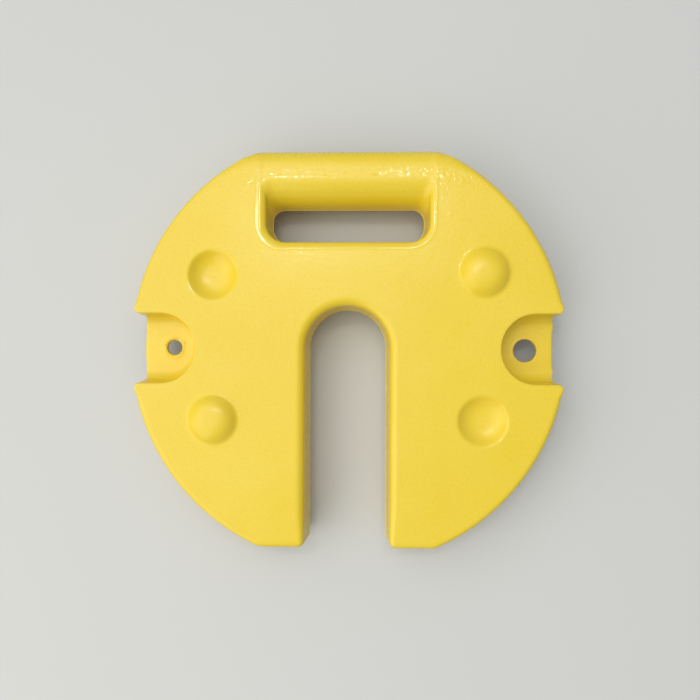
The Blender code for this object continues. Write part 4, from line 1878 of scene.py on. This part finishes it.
@dataclass
class Studio:
    """Plain pale floor, soft light and the camera at the photograph's viewing angle.

    The camera's focal length is in pixels of the photograph, and its place and turn come from
    matching the rim, the slot, the hand-hole and the webs to the photograph. The two small lamps
    give the thin light lines round the hand-hole and on the handle bar.
    """

    focal_pixels: float = 600.0
    frame_pixels: float = 700.0
    sensor: float = 36.0
    nearest_seen: float = 0.01
    camera_place: Triple = (0.01639, 0.00133, 0.59737)
    camera_turn: Triple = (0.0045, -0.0256, -0.0038)
    floor_colour: str = "#D0D0CC"
    floor_bounce_colour: str = "#30342E"
    floor_roughness: float = 0.85
    floor_size: float = 14.0
    floor_drop: float = 0.0002
    world_colour: str = "#F2F4F6"
    bright_side: Triple = (-0.35, 0.25, 0.90)
    bright_from: float = 0.72
    horizon_light: float = 0.34
    sky_light: float = 0.60
    zenith_light: float = 2.10
    backdrop_light: float = 0.72
    backdrop_heights: Pair = (0.10, 0.45)
    lamps: tuple[Lamp, ...] = (
        Lamp("key", (-1.15, -0.75, 0.95), 1.7, 10.0, "#FFFAF0"),
        Lamp("overhead", (-0.20, 0.405, 1.45), 0.10, 1.25),
        Lamp("right_overhead", (0.153, 0.468, 1.45), 0.10, 0.85),
    )

    def build(self) -> None:
        """Set the stage."""
        self.add_floor()
        self.add_world()
        for lamp in self.lamps:
            lamp.build()
        self.add_camera()

    def add_floor(self) -> None:
        """Add the floor under the plate, which looks pale and throws little light back at it."""
        material, tree, _ = new_material("studio_floor")
        colour = add_node(tree, "ShaderNodeMix", {"data_type": "RGBA"}, {
            "Factor": self.seen(tree), 6: linear_colour(self.floor_bounce_colour),
            7: linear_colour(self.floor_colour)})
        shaded(material, {"Base Color": colour.outputs[2], "Roughness": self.floor_roughness})
        mesh = bpy.data.meshes.new("floor")
        size = self.floor_size
        corners = [(-size, -size, 0), (size, -size, 0), (size, size, 0), (-size, size, 0)]
        mesh.from_pydata(corners, [], [(0, 1, 2, 3)])
        mesh.materials.append(material)
        floor = add_object("floor", mesh)
        floor.location.z = -self.floor_drop

    def add_world(self) -> None:
        """Give the world a pale light that grows towards the zenith, and a pale backdrop."""
        world = bpy.data.worlds.new("studio")
        world.use_nodes = True
        tree = world.node_tree
        background = tree.nodes["Background"]
        background.inputs["Color"].default_value = linear_colour(self.world_colour)
        ray = add_node(tree, "ShaderNodeTexCoord").outputs["Generated"]
        height = add_node(tree, "ShaderNodeSeparateXYZ", inputs={0: ray}).outputs["Z"]
        towards = add_node(tree, "ShaderNodeVectorMath", {"operation": "DOT_PRODUCT"}, {
            0: ray, 1: Vector(self.bright_side).normalized()}).outputs["Value"]
        broad, close, low = (
            add_node(tree, "ShaderNodeMapRange", SOFT_STEP, {
                "Value": value, "From Min": start, "From Max": end,
                "To Min": before, "To Max": after})
            for value, start, end, before, after in (
                (towards, 0.0, self.bright_from, 0.0, self.sky_light - self.horizon_light),
                (towards, self.bright_from, 1.0, 0.0, self.zenith_light - self.sky_light),
                (height, *self.backdrop_heights, 1.0, 0.0),
            )
        )
        sky = add_node(tree, "ShaderNodeMath", {"operation": "ADD"}, {
            0: broad, 1: self.horizon_light})
        light = add_node(tree, "ShaderNodeMath", {"operation": "ADD"}, {0: sky, 1: close})
        behind = add_node(tree, "ShaderNodeMath", {"operation": "MULTIPLY"}, {
            0: self.seen(tree), 1: low})
        strength = add_node(tree, "ShaderNodeMix", inputs={
            0: behind, 2: light, 3: self.backdrop_light})
        tree.links.new(strength.outputs[0], background.inputs["Strength"])
        bpy.context.scene.world = world

    @staticmethod
    def seen(tree: bpy.types.NodeTree) -> bpy.types.Node:
        """Tell the rays that show the floor or the backdrop from those that light the plate.

        Args:
            tree: The floor's or the world's tree.

        Returns:
            A node whose result is 1 for the rays that show it and 0 for the others.
        """
        path = add_node(tree, "ShaderNodeLightPath").outputs
        shown = path["Is Camera Ray"]
        for ray in ("Is Glossy Ray", "Is Transmission Ray"):
            shown = add_node(tree, "ShaderNodeMath", {"operation": "MAXIMUM"}, {
                0: shown, 1: path[ray]})
        return shown

    def add_camera(self) -> None:
        """Add the camera over the plate."""
        data = bpy.data.cameras.new("camera")
        data.sensor_width = self.sensor
        data.lens = self.sensor * self.focal_pixels / self.frame_pixels
        data.clip_start = self.nearest_seen
        camera = add_object("camera", data)
        turn = Matrix.Identity(3)
        for angle, axis in zip(self.camera_turn, "XYZ"):
            turn = turn @ Matrix.Rotation(angle, 3, axis)
        camera.matrix_world = Matrix.Translation(self.camera_place) @ turn.transposed().to_4x4()
        bpy.context.scene.camera = camera


def main() -> None:
    """Dress every node of the plate and set the stage."""
    sizes = PlateSizes()
    outline = Outline(sizes)
    casing = MouldedPolyethylene().make()

    for face, node in ((Face.UPPER, "upper_shell"), (Face.LOWER, "lower_shell")):
        shell = HalfShell(sizes, outline, face, casing).build(f"{node}_moulding")
        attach(shell, BODY)
        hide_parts(node)
        LOG.info("%s dressed", node)

    lip = SeamLip(sizes, outline, casing).build("seam_lip")
    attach(lip, BODY)

    burrs = CollarBurrs(sizes, casing).build("left_hole_burrs")
    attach(burrs, BODY)

    plug = FillerPlug(sizes, PlugPolyethylene().make()).build("filler_plug_moulding")
    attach(plug, BODY)
    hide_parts("filler_plug")
    LOG.info("filler_plug dressed")

    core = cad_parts["concrete_core"]
    concrete = CastConcrete().make()
    for place in core.material_slots:
        place.material = concrete
    LOG.info("concrete_core dressed")

    Studio().build()
    bpy.context.scene.view_settings.view_transform = "Standard"


if __name__ == "__main__":
    main()
